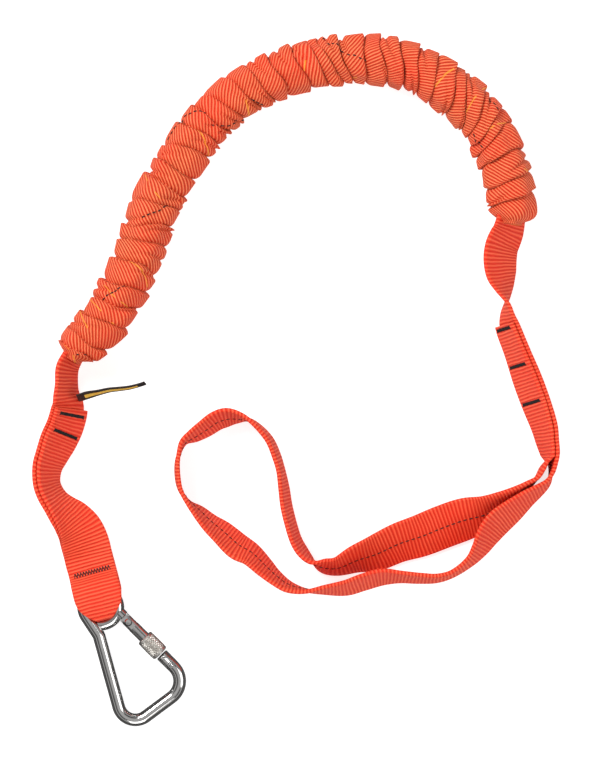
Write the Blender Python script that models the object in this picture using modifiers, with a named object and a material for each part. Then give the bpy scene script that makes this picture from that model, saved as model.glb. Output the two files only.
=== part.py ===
"""Elastic tool lanyard, lying on a flat surface.

A length of one-inch tubular webbing is gathered over an elastic core. One end
is sewn round the eye of a screw-gate hook, the other end is sewn back into a
long choke loop. Metres, +Z up, +Y from the hook towards the top of the arch.
"""

import math

import bmesh
import bpy
import numpy as np
from mathutils import Matrix, Quaternion, Vector

# ---------------------------------------------------------------- dimensions
MM = 0.001
GAP = 0.3 * MM                   # left between webbing and its neighbours
FINE_GAP = 0.2 * MM              # left between the small hook pieces

WEB_WIDTH = 26 * MM              # one-inch tubular webbing, pressed flat
WEB_THICK = 2.4 * MM
STRAP_STEP = 5 * MM

COVER_RADIUS = 14 * MM           # the webbing gathered over the core
COVER_BORE = 7.5 * MM
CORE_RADIUS = 4.5 * MM
COVER_STEP = 8 * MM
BORE_OVERRUN = 4 * MM            # past each end of the cover, for a clean cut
CORE_SETBACK = 1 * MM            # the core stops short of the cover's ends
CORE_TACK_START, CORE_TACK_END = 1 * MM, 5 * MM
CORE_TACK_GAP = 0.2 * MM

TACK_LENGTH = 19.5 * MM
TACK_WIDTH = 1.8 * MM
ZIGZAG_WIDTH = 2.7 * MM
TACK_THICK = 0.5 * MM
TACK_BEVEL = 0.15 * MM

LABEL_WIDTH = 15 * MM
LABEL_THICK = 0.8 * MM

# The webbing's section: where its long edges start to round off, and how far.
EDGE_INSET = 0.7                 # of half the thickness
EDGE_HEIGHT = 0.4

WIRE_RADIUS = 3.45 * MM          # the hook's bent wire
EYE_RADIUS = 9.2 * MM            # to the middle of the wire
BIG_BEND = 11.0 * MM
LOW_BEND = 9.3 * MM
KINK_BEND = 7.0 * MM
HOOK_TILT = math.radians(2.6)    # the eye rides on the webbing under it

GATE_RADIUS = 3.2 * MM
GATE_END = 24.4 * MM             # every gate length is counted from its rivet
NOSE_START = 25.2 * MM
CHEEK_RADIUS = 3.2 * MM
CHEEK_HALF = 2.8 * MM
CHEEK_END = 4.0 * MM
TONGUE_HALF = 1.2 * MM
TONGUE_RADIUS = 3.1 * MM
TONGUE_SIDE = 2.8 * MM
TONGUE_END = 2.5 * MM
TONGUE_STEPS = 6                 # in each of its round corners
HINGE_END = 6.0 * MM
CUT_REACH = 5.0 * MM             # how far the cutters stand out of the gate
SLOT_END = 3.7 * MM
SHOULDER = -3.7 * MM
LUG_START = -8.2 * MM
LUG_MERGE = 1.0 * MM             # the tongue runs into the lug by this
RIVET_RADIUS = 1.2 * MM
RIVET_HEAD = 2.1 * MM
RIVET_CROWN = 1.47 * MM          # radius of the head's flat crown
RIVET_EDGE, RIVET_TOP = 0.5 * MM, 0.7 * MM
BORE_RADIUS = 1.75 * MM
BORE_START = 2.0 * MM
BORE_END = 17.5 * MM
PLUNGER_RADIUS = 1.4 * MM
PLUNGER_START = TONGUE_END + FINE_GAP
PLUNGER_END = 9.0 * MM
SPRING_END = 17.0 * MM
SPRING_TURNS = 6
SPRING_WIRE = 0.22 * MM
SPRING_SLACK = 0.05 * MM
SPRING_STEPS = 12                # points in each turn
PLUNGER_BEVEL = 0.4 * MM
SLEEVE_BEVEL = 0.5 * MM
SLEEVE_START = 12.0 * MM
SLEEVE_END = 24.2 * MM
SLEEVE_BORE = 3.75 * MM
SLEEVE_RADIUS = 4.8 * MM

# ------------------------------------------------------------------- routes
# Webbing routes: x, y and the roll of the webbing about its own run. A roll
# of 0 lies flat and 90 stands on its edge; the lower edge is on the surface.
HOOK_STRAP = [
    (-0.1222, 0.0062, -68), (-0.1226, -0.0022, -68), (-0.1226, -0.0081, -63),
    (-0.1220, -0.0146, -54), (-0.1242, -0.0238, -52), (-0.1280, -0.0324, -52),
    (-0.1312, -0.0394, -58), (-0.1337, -0.0454, -63), (-0.1346, -0.0513, -67),
    (-0.1342, -0.0567, -69), (-0.1323, -0.0616, -69), (-0.1293, -0.0662, -67),
    (-0.1253, -0.0707, -58), (-0.1204, -0.0756, -43), (-0.1161, -0.0815, -28),
    (-0.1131, -0.0891, -13), (-0.1112, -0.0962, 0), (-0.1099, -0.1010, 0)]
TAIL_START = (-0.1220, -0.0150)  # where the folded-back end is cut

NECK_STRAP = [
    (0.1146, 0.0800, -62), (0.1129, 0.0760, -58), (0.1110, 0.0713, -50),
    (0.1102, 0.0648, -46), (0.1107, 0.0567, -51), (0.1121, 0.0497, -65),
    (0.1132, 0.0443, -80), (0.1137, 0.0400, -92), (0.1140, 0.0340, -102),
    (0.1154, 0.0283, -108), (0.1206, 0.0149, -110), (0.1260, 0.0000, -115),
    (0.1306, -0.0124, -115), (0.1348, -0.0243, -111), (0.1366, -0.0324, -106),
    (0.1380, -0.0389, -101), (0.1382, -0.0448, -94), (0.1375, -0.0502, -88),
    (0.1345, -0.0562, -80)]
CHOKE_LOOP = NECK_STRAP[-2:] + [
    (0.1242, -0.0640, -68), (0.1164, -0.0705, -60), (0.1091, -0.0767, -56),
    (0.1037, -0.0834, -60), (0.0996, -0.0902, -68), (0.0940, -0.0972, -77),
    (0.0850, -0.1037, -81), (0.0764, -0.1064, -80), (0.0667, -0.1064, -78),
    (0.0567, -0.1057, -76), (0.0467, -0.1058, -70), (0.0367, -0.1085, -69),
    (0.0275, -0.1115, -71), (0.0162, -0.1126, -79), (0.0054, -0.1131, -89),
    (-0.0038, -0.1107, -98), (-0.0108, -0.1058, -103), (-0.0167, -0.1002, -109),
    (-0.0238, -0.0934, -114), (-0.0310, -0.0891, -119), (-0.0389, -0.0821, -115),
    (-0.0454, -0.0769, -108), (-0.0518, -0.0707, -100), (-0.0572, -0.0659, -90),
    (-0.0613, -0.0594, -87), (-0.0629, -0.0529, -86), (-0.0632, -0.0448, -87),
    (-0.0618, -0.0378, -90), (-0.0594, -0.0329, -95), (-0.0540, -0.0297, -104),
    (-0.0480, -0.0259, -109), (-0.0421, -0.0219, -111), (-0.0362, -0.0200, -110),
    (-0.0302, -0.0200, -101), (-0.0248, -0.0213, -91), (-0.0189, -0.0259, -87),
    (-0.0135, -0.0324, -85), (-0.0100, -0.0405, -84), (-0.0076, -0.0486, -84),
    (-0.0059, -0.0583, -81), (-0.0046, -0.0675, -80), (-0.0024, -0.0767, -80),
    (0.0005, -0.0859, -80), (0.0043, -0.0923, -81), (0.0089, -0.0970, -88),
    (0.0148, -0.0996, -106), (0.0227, -0.1000, -113), (0.0329, -0.0961, -126),
    (0.0437, -0.0929, -140), (0.0559, -0.0875, -147), (0.0678, -0.0837, -152),
    (0.0802, -0.0788, -155), (0.0910, -0.0750, -153), (0.1021, -0.0718, -140),
    (0.1118, -0.0667, -125), (0.1191, -0.0616, -112), (0.1253, -0.0564, -100),
    (0.1299, -0.0524, -93), (0.1324, -0.0475, -88)]
TAIL_JOINS = (0.1381, -0.0405)   # beside the neck, where leg and tail meet
TAIL_ENDS = (0.1142, 0.0300)

# The bungee's centre line, from the hook end to the loop end.
BUNGEE = [
    (-0.1206, 0.0100), (-0.1160, 0.0175), (-0.1102, 0.0235), (-0.1010, 0.0335),
    (-0.0945, 0.0448), (-0.0880, 0.0567), (-0.0826, 0.0697), (-0.0788, 0.0835),
    (-0.0740, 0.0955), (-0.0680, 0.1058), (-0.0626, 0.1161), (-0.0567, 0.1253),
    (-0.0497, 0.1345), (-0.0389, 0.1458), (-0.0275, 0.1544), (-0.0115, 0.1622),
    (0.0043, 0.1683), (0.0173, 0.1708), (0.0320, 0.1718), (0.0459, 0.1716),
    (0.0556, 0.1701), (0.0653, 0.1665), (0.0740, 0.1622), (0.0815, 0.1571),
    (0.0886, 0.1515), (0.0956, 0.1450), (0.1015, 0.1377), (0.1064, 0.1291),
    (0.1105, 0.1193), (0.1134, 0.1102), (0.1152, 0.1010), (0.1164, 0.0923),
    (0.1158, 0.0845)]

LABEL = [
    (-0.1168, -0.0096, -102), (-0.1148, -0.0092, -104), (-0.1110, -0.0080, -104),
    (-0.1058, -0.0068, -100), (-0.0999, -0.0054, -98), (-0.0945, -0.0048, -97),
    (-0.0891, -0.0041, -96), (-0.0837, -0.0027, -95), (-0.0805, -0.0016, -95)]
LABEL_ROOT_HEIGHT = 12 * MM
LABEL_TIP_HEIGHT = 8 * MM

# The webbing eye, seen from the side: run from the fold line, height and half
# width. It goes over the hook's eye, down through it and back underneath.
EYE_FOLD = Vector((-0.1099, -0.1010, 0))
EYE_LINE = Vector((0.0013, -0.0048, 0)).normalized()
EYE_PROFILE = [
    (0.4, 3.95, 13.0), (3.0, 4.3, 13.0), (5.0, 5.6, 13.0), (7.0, 8.0, 13.0),
    (9.0, 10.2, 13.0), (12.8, 11.9, 13.0), (17.0, 12.4, 12.8),
    (21.0, 12.4, 11.6), (24.5, 12.0, 9.0), (27.0, 11.3, 6.3),
    (27.9, 10.1, 4.2), (26.9, 8.7, 3.2), (26.0, 7.2, 2.9), (25.5, 5.6, 2.9),
    (25.4, 4.0, 3.2), (24.6, 2.3, 5.2), (22.6, 1.35, 8.4), (19.0, 1.25, 11.4),
    (15.0, 1.25, 12.8), (10.0, 1.25, 13.0), (5.0, 1.25, 13.0), (0.4, 1.25, 13.0)]

# The hook, in its own flat frame: the rivet, the line of the gate and the
# corners that the wire's bends round off.
HOOK_REST = Vector((-0.0878, -0.1833, WIRE_RADIUS))
RIVET = Vector((-0.0896, -0.1301, 0))
GATE_LINE = Vector((1, -1, 0)).normalized()
BIG_CORNER = Vector((-0.0564, -0.1634, 0))
LOW_CORNER = Vector((-0.0914, -0.1895, 0))
KINK_CORNER = Vector((-0.1056, -0.1375, 0))
EYE_CENTRE = Vector((-0.1046, -0.1223, 0))
EYE_JOIN = Vector((-0.1123, -0.1274, 0))
EYE_TUCK = 2.0 * MM              # how far the eye's end dips under the spine
EYE_TURN = math.radians(318)
EYE_STEPS = 26
EYE_SPLIT = 17                   # the step where the eye's closing piece starts
EYE_DIP_FROM = 0.7               # the part of the turn where the dip starts
CLOSING_RADIUS = 3.39825 * MM    # a touch thinner, so that the two tubes merge
ROUND_EDGE = math.radians(40)    # edges sharper than this stay sharp

# Brings the middle of the finished shape over the origin.
CENTRING = Vector((-0.0005, 0.0004, 0))

SEWN_WEST = (-0.1186, -0.0197), (-0.1221, -0.0292)
SEWN_EAST = (0.1131, 0.0279), (0.1192, 0.0078), (0.1255, -0.0127)

# ---------------------------------------------------------------- collections
for stale in list(bpy.data.objects):
    bpy.data.objects.remove(stale, do_unlink=True)


def new_collection(name):
    collection = bpy.data.collections.new(name)
    bpy.context.scene.collection.children.link(collection)
    return collection


PARTS = new_collection("shock_absorbing_lanyard")
CUTTERS = new_collection("cutters")


def add_material(name, colour, roughness, metallic=0.0):
    material = bpy.data.materials.new(name)
    material.use_nodes = True
    shader = material.node_tree.nodes["Principled BSDF"]
    shader.inputs["Base Color"].default_value = (*colour, 1.0)
    shader.inputs["Roughness"].default_value = roughness
    shader.inputs["Metallic"].default_value = metallic
    return material


WEBBING = add_material("orange_webbing", (0.83, 0.09, 0.03), 0.8)
THREAD = add_material("black_thread", (0.02, 0.02, 0.02), 0.8)
ELASTIC = add_material("elastic", (0.75, 0.72, 0.66), 0.7)
LABEL_CLOTH = add_material("label_cloth", (0.03, 0.03, 0.03), 0.6)
STAINLESS = add_material("polished_stainless", (0.62, 0.62, 0.60), 0.15, 1.0)
KNURLED = add_material("knurled_steel", (0.50, 0.47, 0.44), 0.4, 1.0)
SPRING_STEEL = add_material("spring_steel", (0.45, 0.45, 0.45), 0.3, 1.0)


# -------------------------------------------------------------------- helpers
def smooth_line(points, step):
    """A smooth curve through hand-placed points, read at even steps."""
    known = np.array(points, dtype=float)
    ends = 2 * known[0] - known[1], 2 * known[-1] - known[-2]
    padded = np.vstack([ends[0], known, ends[1]])
    fine = []
    for a, b, c, d in zip(padded, padded[1:], padded[2:], padded[3:]):
        for t in np.linspace(0, 1, 12, endpoint=False):
            fine.append(0.5 * (2 * b + (c - a) * t
                               + (2 * a - 5 * b + 4 * c - d) * t ** 2
                               + (3 * b - a - 3 * c + d) * t ** 3))
    fine = np.array(fine + [known[-1]])
    runs = np.linalg.norm(np.diff(fine[:, :2], axis=0), axis=1)
    reached = np.concatenate([[0], np.cumsum(runs)])
    count = max(2, round(reached[-1] / step) + 1)
    at = np.linspace(0, reached[-1], count)
    return np.array([np.interp(at, reached, column) for column in fine.T]).T


class Station:
    """One cross-section of a strap: its middle, run, width and face."""

    def __init__(self, middle, run, across, half_width):
        self.middle = Vector(middle)
        self.run = Vector(run).normalized()
        self.across = Vector(across).normalized()
        self.face = self.run.cross(self.across).normalized()
        self.half_width = half_width

    def moved(self, offset):
        return Station(self.middle + self.face * offset, self.run, self.across,
                       self.half_width)


def strap_stations(route, width=WEB_WIDTH, thick=WEB_THICK, heights=None):
    """Stations along a route, each resting on the surface by its low edge."""
    rows = smooth_line(route, STRAP_STEP)
    runs = np.gradient(rows[:, :2], axis=0)
    stations = []
    for number, (row, run) in enumerate(zip(rows, runs)):
        roll = math.radians(row[2])
        run = Vector((run[0], run[1], 0)).normalized()
        left = Vector((-run.y, run.x, 0))
        across = left * math.cos(roll) + Vector((0, 0, math.sin(roll)))
        height = width / 2 * abs(math.sin(roll)) + thick / 2 * abs(math.cos(roll))
        if heights:
            part = number / (len(rows) - 1)
            height = heights[0] * (1 - part) + heights[1] * part
        stations.append(Station((row[0], row[1], height), run, across, width / 2))
    return stations


def lifted(stations, offset):
    """The layer that lies on another, on the side that faces up."""
    side = 1 if stations[len(stations) // 2].face.z > 0 else -1
    return [station.moved(side * offset) for station in stations]


def add_object(name, mesh, material, collection=PARTS):
    obj = bpy.data.objects.new(name, mesh)
    mesh.materials.append(material)
    collection.objects.link(obj)
    return obj


def loft_strap(name, stations, material, thick=WEB_THICK):
    """A flat strap through its stations, with softened long edges.

    The section turns about its run and changes width, so its faces are made
    from the stations.
    """
    half = thick / 2
    mesh = bpy.data.meshes.new(name)
    build = bmesh.new()
    rings = []
    for station in stations:
        wide = station.half_width
        near, edge = wide - half * EDGE_INSET, half * EDGE_HEIGHT
        corners = [(wide, edge), (near, half), (-near, half), (-wide, edge),
                   (-wide, -edge), (-near, -half), (near, -half), (wide, -edge)]
        rings.append([build.verts.new(station.middle + station.across * u
                                      + station.face * v) for u, v in corners])
    for ring, after in zip(rings, rings[1:]):
        for one in range(len(ring)):
            two = (one + 1) % len(ring)
            # Both faces of the webbing are split along the same diagonal.
            if one < len(ring) // 2:
                build.faces.new((ring[one], ring[two], after[two]))
                build.faces.new((ring[one], after[two], after[one]))
            else:
                build.faces.new((ring[one], ring[two], after[one]))
                build.faces.new((ring[two], after[two], after[one]))
    build.faces.new(reversed(rings[0]))
    build.faces.new(rings[-1])
    bmesh.ops.recalc_face_normals(build, faces=build.faces)
    build.to_mesh(mesh)
    build.free()
    return add_object(name, mesh, material)


def nearest(stations, place):
    spot = Vector((*place, 0))
    return min(stations, key=lambda s: (s.middle.xy - spot.xy).length)


def add_tack(name, station, width=TACK_WIDTH):
    """A bar of close stitches lying across the face of a strap."""
    bpy.ops.mesh.primitive_cube_add(size=1)
    tack = bpy.context.object
    tack.name = tack.data.name = name
    up = station.face if station.face.z > 0 else -station.face
    across = station.across
    along = up.cross(across)
    height = WEB_THICK / 2 + GAP + TACK_THICK / 2
    turn = Matrix((across, along, up)).transposed().to_4x4()
    size = Matrix.Diagonal((TACK_LENGTH, width, TACK_THICK, 1))
    tack.data.transform(size)
    tack.matrix_world = Matrix.Translation(station.middle + up * height) @ turn
    tack.data.materials.append(THREAD)
    bevel = tack.modifiers.new("rounded", "BEVEL")
    bevel.width = TACK_BEVEL
    bevel.segments = 1
    move_to(tack, PARTS)
    return tack


def move_to(obj, collection):
    for held in list(obj.users_collection):
        held.objects.unlink(obj)
    collection.objects.link(obj)


def tube(name, points, radius, material, resolution=3):
    """A round tube through points, with filled ends."""
    curve = bpy.data.curves.new(name, "CURVE")
    curve.dimensions = "3D"
    curve.bevel_depth = radius
    curve.bevel_resolution = resolution
    curve.use_fill_caps = True
    spline = curve.splines.new("POLY")
    spline.points.add(len(points) - 1)
    for point, place in zip(spline.points, points):
        point.co = (*place, 1)
    curve.materials.append(material)
    obj = bpy.data.objects.new(name, curve)
    PARTS.objects.link(obj)
    return obj


def as_mesh(obj):
    """Turns a curve into a closed mesh object of the same name and place."""
    graph = bpy.context.evaluated_depsgraph_get()
    graph.update()
    mesh = bpy.data.meshes.new_from_object(obj.evaluated_get(graph))
    build = bmesh.new()
    build.from_mesh(mesh)
    bmesh.ops.remove_doubles(build, verts=build.verts, dist=1e-6)
    bmesh.ops.recalc_face_normals(build, faces=build.faces)
    build.to_mesh(mesh)
    build.free()
    name, matrix, parent = obj.name, obj.matrix_world.copy(), obj.parent
    bpy.data.objects.remove(obj, do_unlink=True)
    solid = bpy.data.objects.new(name, mesh)
    PARTS.objects.link(solid)
    solid.matrix_world = matrix
    solid.parent = parent
    return solid


def shade_round(obj):
    """Shades the round side smooth and keeps the rims sharp."""
    obj.data.shade_smooth()
    obj.data.set_sharp_from_angle(angle=ROUND_EDGE)


def along_gate(name, start, end, radius, collection=CUTTERS, sides=24):
    """A cylinder on the gate's line, by its distances from the rivet."""
    bpy.ops.mesh.primitive_cylinder_add(vertices=sides, radius=radius, depth=end - start)
    rod = bpy.context.object
    rod.name = rod.data.name = name
    rod.data.transform(Matrix.Rotation(math.pi / 2, 4, "Y"))
    rod.data.transform(Matrix.Translation(((start + end) / 2, 0, 0)))
    rod.data.materials.append(STAINLESS)
    shade_round(rod)
    move_to(rod, collection)
    return rod


def box(name, low, high):
    bpy.ops.mesh.primitive_cube_add(size=1)
    block = bpy.context.object
    block.name = block.data.name = name
    low, high = Vector(low), Vector(high)
    size = high - low
    block.data.transform(Matrix.Diagonal((*size, 1)))
    block.data.transform(Matrix.Translation((low + high) / 2))
    block.data.materials.append(STAINLESS)
    move_to(block, CUTTERS)
    return block


def upright(name, radius, half, sides=24):
    """A cylinder on the rivet's line."""
    bpy.ops.mesh.primitive_cylinder_add(vertices=sides, radius=radius, depth=2 * half)
    rod = bpy.context.object
    rod.name = rod.data.name = name
    rod.data.materials.append(STAINLESS)
    shade_round(rod)
    move_to(rod, CUTTERS)
    return rod


def combine(target, tool, operation):
    cut = target.modifiers.new(tool.name, "BOOLEAN")
    cut.object = tool
    cut.operation = operation
    cut.solver = "EXACT"
    tool.hide_render = True
    tool.display_type = "WIRE"


def turned(name, profile, material, sides=24, flip=False):
    """A ring turned from its profile: points of run and radius on the gate."""
    mesh = bpy.data.meshes.new(name)
    build = bmesh.new()
    points = [build.verts.new((run, 0, radius)) for run, radius in profile]
    for one, two in zip(points, points[1:] + points[:1]):
        build.edges.new((one, two))
    build.to_mesh(mesh)
    build.free()
    obj = add_object(name, mesh, material)
    spin = obj.modifiers.new("turn", "SCREW")
    spin.axis = "X"
    spin.steps = spin.render_steps = sides
    spin.use_merge_vertices = True
    spin.merge_threshold = 1e-5
    spin.use_normal_calculate = True
    spin.use_normal_flip = flip
    return obj


# -------------------------------------------------------------- hook webbing
def build_hook_strap():
    base = strap_stations(HOOK_STRAP)
    loft_strap("hook_strap_base", base, WEBBING)
    first = base.index(nearest(base, TAIL_START))
    tail = lifted(base[first:], WEB_THICK + GAP)
    loft_strap("hook_strap_tail", tail, WEBBING)
    for name, place in zip(("hook_tack_upper", "hook_tack_lower"), SEWN_WEST):
        add_tack(name, nearest(tail, place))


def build_webbing_eye():
    side = Vector((-EYE_LINE.y, EYE_LINE.x, 0))
    rows = [Vector((run, high)) * MM for run, high, _ in EYE_PROFILE]
    stations = []
    for number, (run, high, half) in enumerate(EYE_PROFILE):
        before = rows[max(number - 1, 0)]
        after = rows[min(number + 1, len(rows) - 1)]
        slope = after - before
        heading = EYE_LINE * slope.x + Vector((0, 0, slope.y))
        middle = EYE_FOLD + EYE_LINE * run * MM + Vector((0, 0, high * MM))
        stations.append(Station(middle, heading, side, half * MM))
    loft_strap("webbing_eye", stations, WEBBING)
    add_tack("hook_zigzag_tack", stations[1], ZIGZAG_WIDTH)


def build_label():
    heights = LABEL_ROOT_HEIGHT, LABEL_TIP_HEIGHT
    flap = strap_stations(LABEL, LABEL_WIDTH, LABEL_THICK, heights)
    loft_strap("label_tag", flap, LABEL_CLOTH, LABEL_THICK)


# -------------------------------------------------------------------- bungee
def bungee_points():
    rows = smooth_line(BUNGEE, COVER_STEP)
    return [Vector((x, y, COVER_RADIUS)) for x, y in rows]


def extended(points, extra):
    """The same line, longer by a little at both ends."""
    first = points[0] + (points[0] - points[1]).normalized() * extra
    last = points[-1] + (points[-1] - points[-2]).normalized() * extra
    return [first] + points[1:-1] + [last]


def build_bungee():
    points = bungee_points()
    cover = as_mesh(tube("bungee_cover", points, COVER_RADIUS, WEBBING, 4))
    bore = as_mesh(tube("cover_bore", extended(points, BORE_OVERRUN), COVER_BORE, WEBBING, 2))
    move_to(bore, CUTTERS)
    combine(cover, bore, "DIFFERENCE")
    core = extended(points, -CORE_SETBACK)
    tube("elastic_core", core, CORE_RADIUS, ELASTIC, 2)
    ends = ("core_tack_hook", core[0], core[1]), ("core_tack_loop", core[-1], core[-2])
    for name, end, inner in ends:
        build_core_tack(name, end, (inner - end).normalized())


def build_core_tack(name, end, inward):
    """The thread whipped round an end of the core, where it is sewn in."""
    inner = CORE_RADIUS + GAP + CORE_TACK_GAP
    outer = COVER_BORE - 2 * GAP
    start, stop = CORE_TACK_START, CORE_TACK_END
    ring = turned(name, [(start, inner), (stop, inner), (stop, outer), (start, outer)],
                  THREAD, 16, flip=True)
    ring.location = end
    ring.rotation_euler = (0, 0, math.atan2(inward.y, inward.x))


# ----------------------------------------------------------------- loop webbing
def build_loop_strap():
    """The webbing beyond the bungee: the neck, the choke loop and its tail."""
    whole = strap_stations(NECK_STRAP[:-1] + CHOKE_LOOP[1:])
    split = whole.index(nearest(whole, NECK_STRAP[-2][:2]))
    neck = [Station(one.middle, -one.run, one.across, one.half_width)
            for one in reversed(whole[:split])]
    loft_strap("loop_neck_strap", neck, WEBBING)
    first = neck.index(nearest(neck, TAIL_JOINS))
    last = neck.index(nearest(neck, TAIL_ENDS))
    tail = [one.moved(WEB_THICK + GAP) for one in neck[first:last + 1]]
    loft_strap("choke_loop", whole[split:] + tail, WEBBING)
    names = "loop_tack_upper", "loop_tack_middle", "loop_tack_lower"
    for name, place in zip(names, SEWN_EAST):
        add_tack(name, nearest(tail, place))


# ------------------------------------------------------------------------ hook
def rounded(corners, radii, steps):
    """A line through corners, each rounded by an arc of its own radius."""
    line = [corners[0]]
    for before, corner, after, radius in zip(corners, corners[1:], corners[2:], radii):
        one = (before - corner).normalized()
        two = (after - corner).normalized()
        half = one.angle(two) / 2
        centre = corner + (one + two).normalized() * (radius / math.sin(half))
        start = corner + one * (radius / math.tan(half)) - centre
        end = corner + two * (radius / math.tan(half)) - centre
        axis, angle = start.cross(end), start.angle(end)
        for number in range(steps + 1):
            line.append(centre + Quaternion(axis, angle * number / steps) @ start)
    line.append(corners[-1])
    return line


def hook_wire():
    """The wire's middle line: nose, basket, spine and then round the eye."""
    nose = RIVET + GATE_LINE * NOSE_START
    corners = [nose, BIG_CORNER, LOW_CORNER, KINK_CORNER, EYE_JOIN]
    return rounded(corners, [BIG_BEND, LOW_BEND, KINK_BEND], 8)


def eye_arc():
    """The eye, clockwise from the spine's end and over to where it tucks in."""
    start = EYE_JOIN - EYE_CENTRE
    begin = math.atan2(start.y, start.x)
    arc = []
    for number in range(EYE_STEPS + 1):
        part = number / EYE_STEPS
        angle = begin - EYE_TURN * part
        dip = EYE_TUCK * max(0, (part - EYE_DIP_FROM) / (1 - EYE_DIP_FROM))
        arc.append(EYE_CENTRE + Vector((EYE_RADIUS * math.cos(angle),
                                        EYE_RADIUS * math.sin(angle), -dip)))
    return arc


def tongue_cutter():
    """The flat tongue that the gate turns on, with a face for the plunger."""
    widest = math.asin(TONGUE_SIDE / TONGUE_RADIUS)
    flat = math.acos(TONGUE_END / TONGUE_RADIUS)
    side = [(SHOULDER - LUG_MERGE, TONGUE_SIDE)]
    for number in range(TONGUE_STEPS + 1):
        angle = widest + (flat - widest) * number / TONGUE_STEPS
        side.append((TONGUE_RADIUS * math.cos(angle), TONGUE_RADIUS * math.sin(angle)))
    outline = side + [(x, -y) for x, y in reversed(side)]
    mesh = bpy.data.meshes.new("hinge_tongue")
    build = bmesh.new()
    low = [build.verts.new((x, y, -TONGUE_HALF)) for x, y in outline]
    high = [build.verts.new((x, y, TONGUE_HALF)) for x, y in outline]
    build.faces.new(low)
    build.faces.new(high)
    for one in range(len(outline)):
        two = (one + 1) % len(outline)
        build.faces.new((low[one], low[two], high[two], high[one]))
    bmesh.ops.recalc_face_normals(build, faces=build.faces)
    build.to_mesh(mesh)
    build.free()
    return add_object("hinge_tongue", mesh, STAINLESS, CUTTERS)


def build_hook(holder, pivot):
    line = hook_wire()[:-1] + eye_arc()[:EYE_SPLIT + 1]
    frame = as_mesh(tube("hook_frame", line, WIRE_RADIUS, STAINLESS, 4))
    closing = as_mesh(tube("eye_closing", eye_arc()[EYE_SPLIT:], CLOSING_RADIUS, STAINLESS, 4))
    move_to(closing, CUTTERS)
    combine(frame, closing, "UNION")
    lug = along_gate("hinge_lug", LUG_START, SHOULDER, GATE_RADIUS)
    tongue = tongue_cutter()
    hole = upright("tongue_hole", RIVET_RADIUS + FINE_GAP, CHEEK_END)
    for tool, operation in ((lug, "UNION"), (tongue, "UNION"), (hole, "DIFFERENCE")):
        tool.parent = pivot
        combine(frame, tool, operation)
    frame.parent = closing.parent = holder


def build_rivet(pivot):
    half = CHEEK_HALF + FINE_GAP
    profile = [(-half - RIVET_TOP, 0), (-half - RIVET_EDGE, RIVET_CROWN), (-half, RIVET_HEAD),
               (-half, RIVET_RADIUS), (half, RIVET_RADIUS), (half, RIVET_HEAD),
               (half + RIVET_EDGE, RIVET_CROWN), (half + RIVET_TOP, 0)]
    mesh = bpy.data.meshes.new("gate_rivet")
    build = bmesh.new()
    points = [build.verts.new((radius, 0, -run)) for run, radius in profile]
    for one, two in zip(points, points[1:]):
        build.edges.new((one, two))
    build.to_mesh(mesh)
    build.free()
    rivet = add_object("gate_rivet", mesh, STAINLESS)
    spin = rivet.modifiers.new("turn", "SCREW")
    spin.steps = spin.render_steps = 20
    spin.use_merge_vertices = True
    spin.merge_threshold = 1e-5
    spin.use_normal_calculate = True
    spin.use_normal_flip = True
    rivet.parent = pivot


def build_gate(pivot):
    gate = along_gate("gate_lever", 0, GATE_END, GATE_RADIUS, PARTS, 28)
    gate.parent = pivot
    hinge = along_gate("gate_hinge_end", -CHEEK_RADIUS, HINGE_END, GATE_RADIUS)
    round_end = upright("cheek_rounding", CHEEK_RADIUS, CHEEK_END, sides=28)
    front = box("cheek_front", (0, -CUT_REACH, -CUT_REACH),
                (HINGE_END + LUG_MERGE, CUT_REACH, CUT_REACH))
    combine(round_end, front, "UNION")
    combine(hinge, round_end, "INTERSECT")
    slot_half = TONGUE_HALF + FINE_GAP
    slot = box("fork_slot", (-HINGE_END, -CUT_REACH, -slot_half),
               (SLOT_END, CUT_REACH, slot_half))
    top = box("cheek_top", (-HINGE_END, -CUT_REACH, CHEEK_HALF),
              (CHEEK_END, CUT_REACH, CUT_REACH))
    low = box("cheek_low", (-HINGE_END, -CUT_REACH, -CUT_REACH),
              (CHEEK_END, CUT_REACH, -CHEEK_HALF))
    hole = upright("cheek_hole", RIVET_RADIUS + FINE_GAP, CUT_REACH)
    bore = along_gate("spring_bore", BORE_START, BORE_END, BORE_RADIUS, sides=16)
    for tool, operation in ((hinge, "UNION"), (slot, "DIFFERENCE"), (top, "DIFFERENCE"),
                            (low, "DIFFERENCE"), (hole, "DIFFERENCE"), (bore, "DIFFERENCE")):
        tool.parent = pivot
        combine(gate, tool, operation)
    round_end.parent = front.parent = pivot


def build_gate_spring(pivot):
    start, end = PLUNGER_END + FINE_GAP + SPRING_WIRE, SPRING_END
    radius = BORE_RADIUS - FINE_GAP - SPRING_WIRE - SPRING_SLACK
    count = SPRING_TURNS * SPRING_STEPS
    points = []
    for number in range(count + 1):
        angle = 2 * math.pi * number / SPRING_STEPS
        run = start + (end - start) * number / count
        points.append((run, radius * math.cos(angle), radius * math.sin(angle)))
    tube("gate_spring", points, SPRING_WIRE, SPRING_STEEL, 0).parent = pivot


def build_plunger(pivot):
    plunger = along_gate("gate_plunger", PLUNGER_START, PLUNGER_END, PLUNGER_RADIUS, PARTS, 16)
    bevel = plunger.modifiers.new("rounded", "BEVEL")
    bevel.width = PLUNGER_BEVEL
    bevel.segments = 2
    plunger.parent = pivot


def build_sleeve(pivot):
    edge = SLEEVE_BEVEL
    profile = [(SLEEVE_START, SLEEVE_BORE), (SLEEVE_END, SLEEVE_BORE),
               (SLEEVE_END, SLEEVE_RADIUS - edge), (SLEEVE_END - edge, SLEEVE_RADIUS),
               (SLEEVE_START + edge, SLEEVE_RADIUS), (SLEEVE_START, SLEEVE_RADIUS - edge)]
    turned("screw_sleeve", profile, KNURLED, 32).parent = pivot


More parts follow.
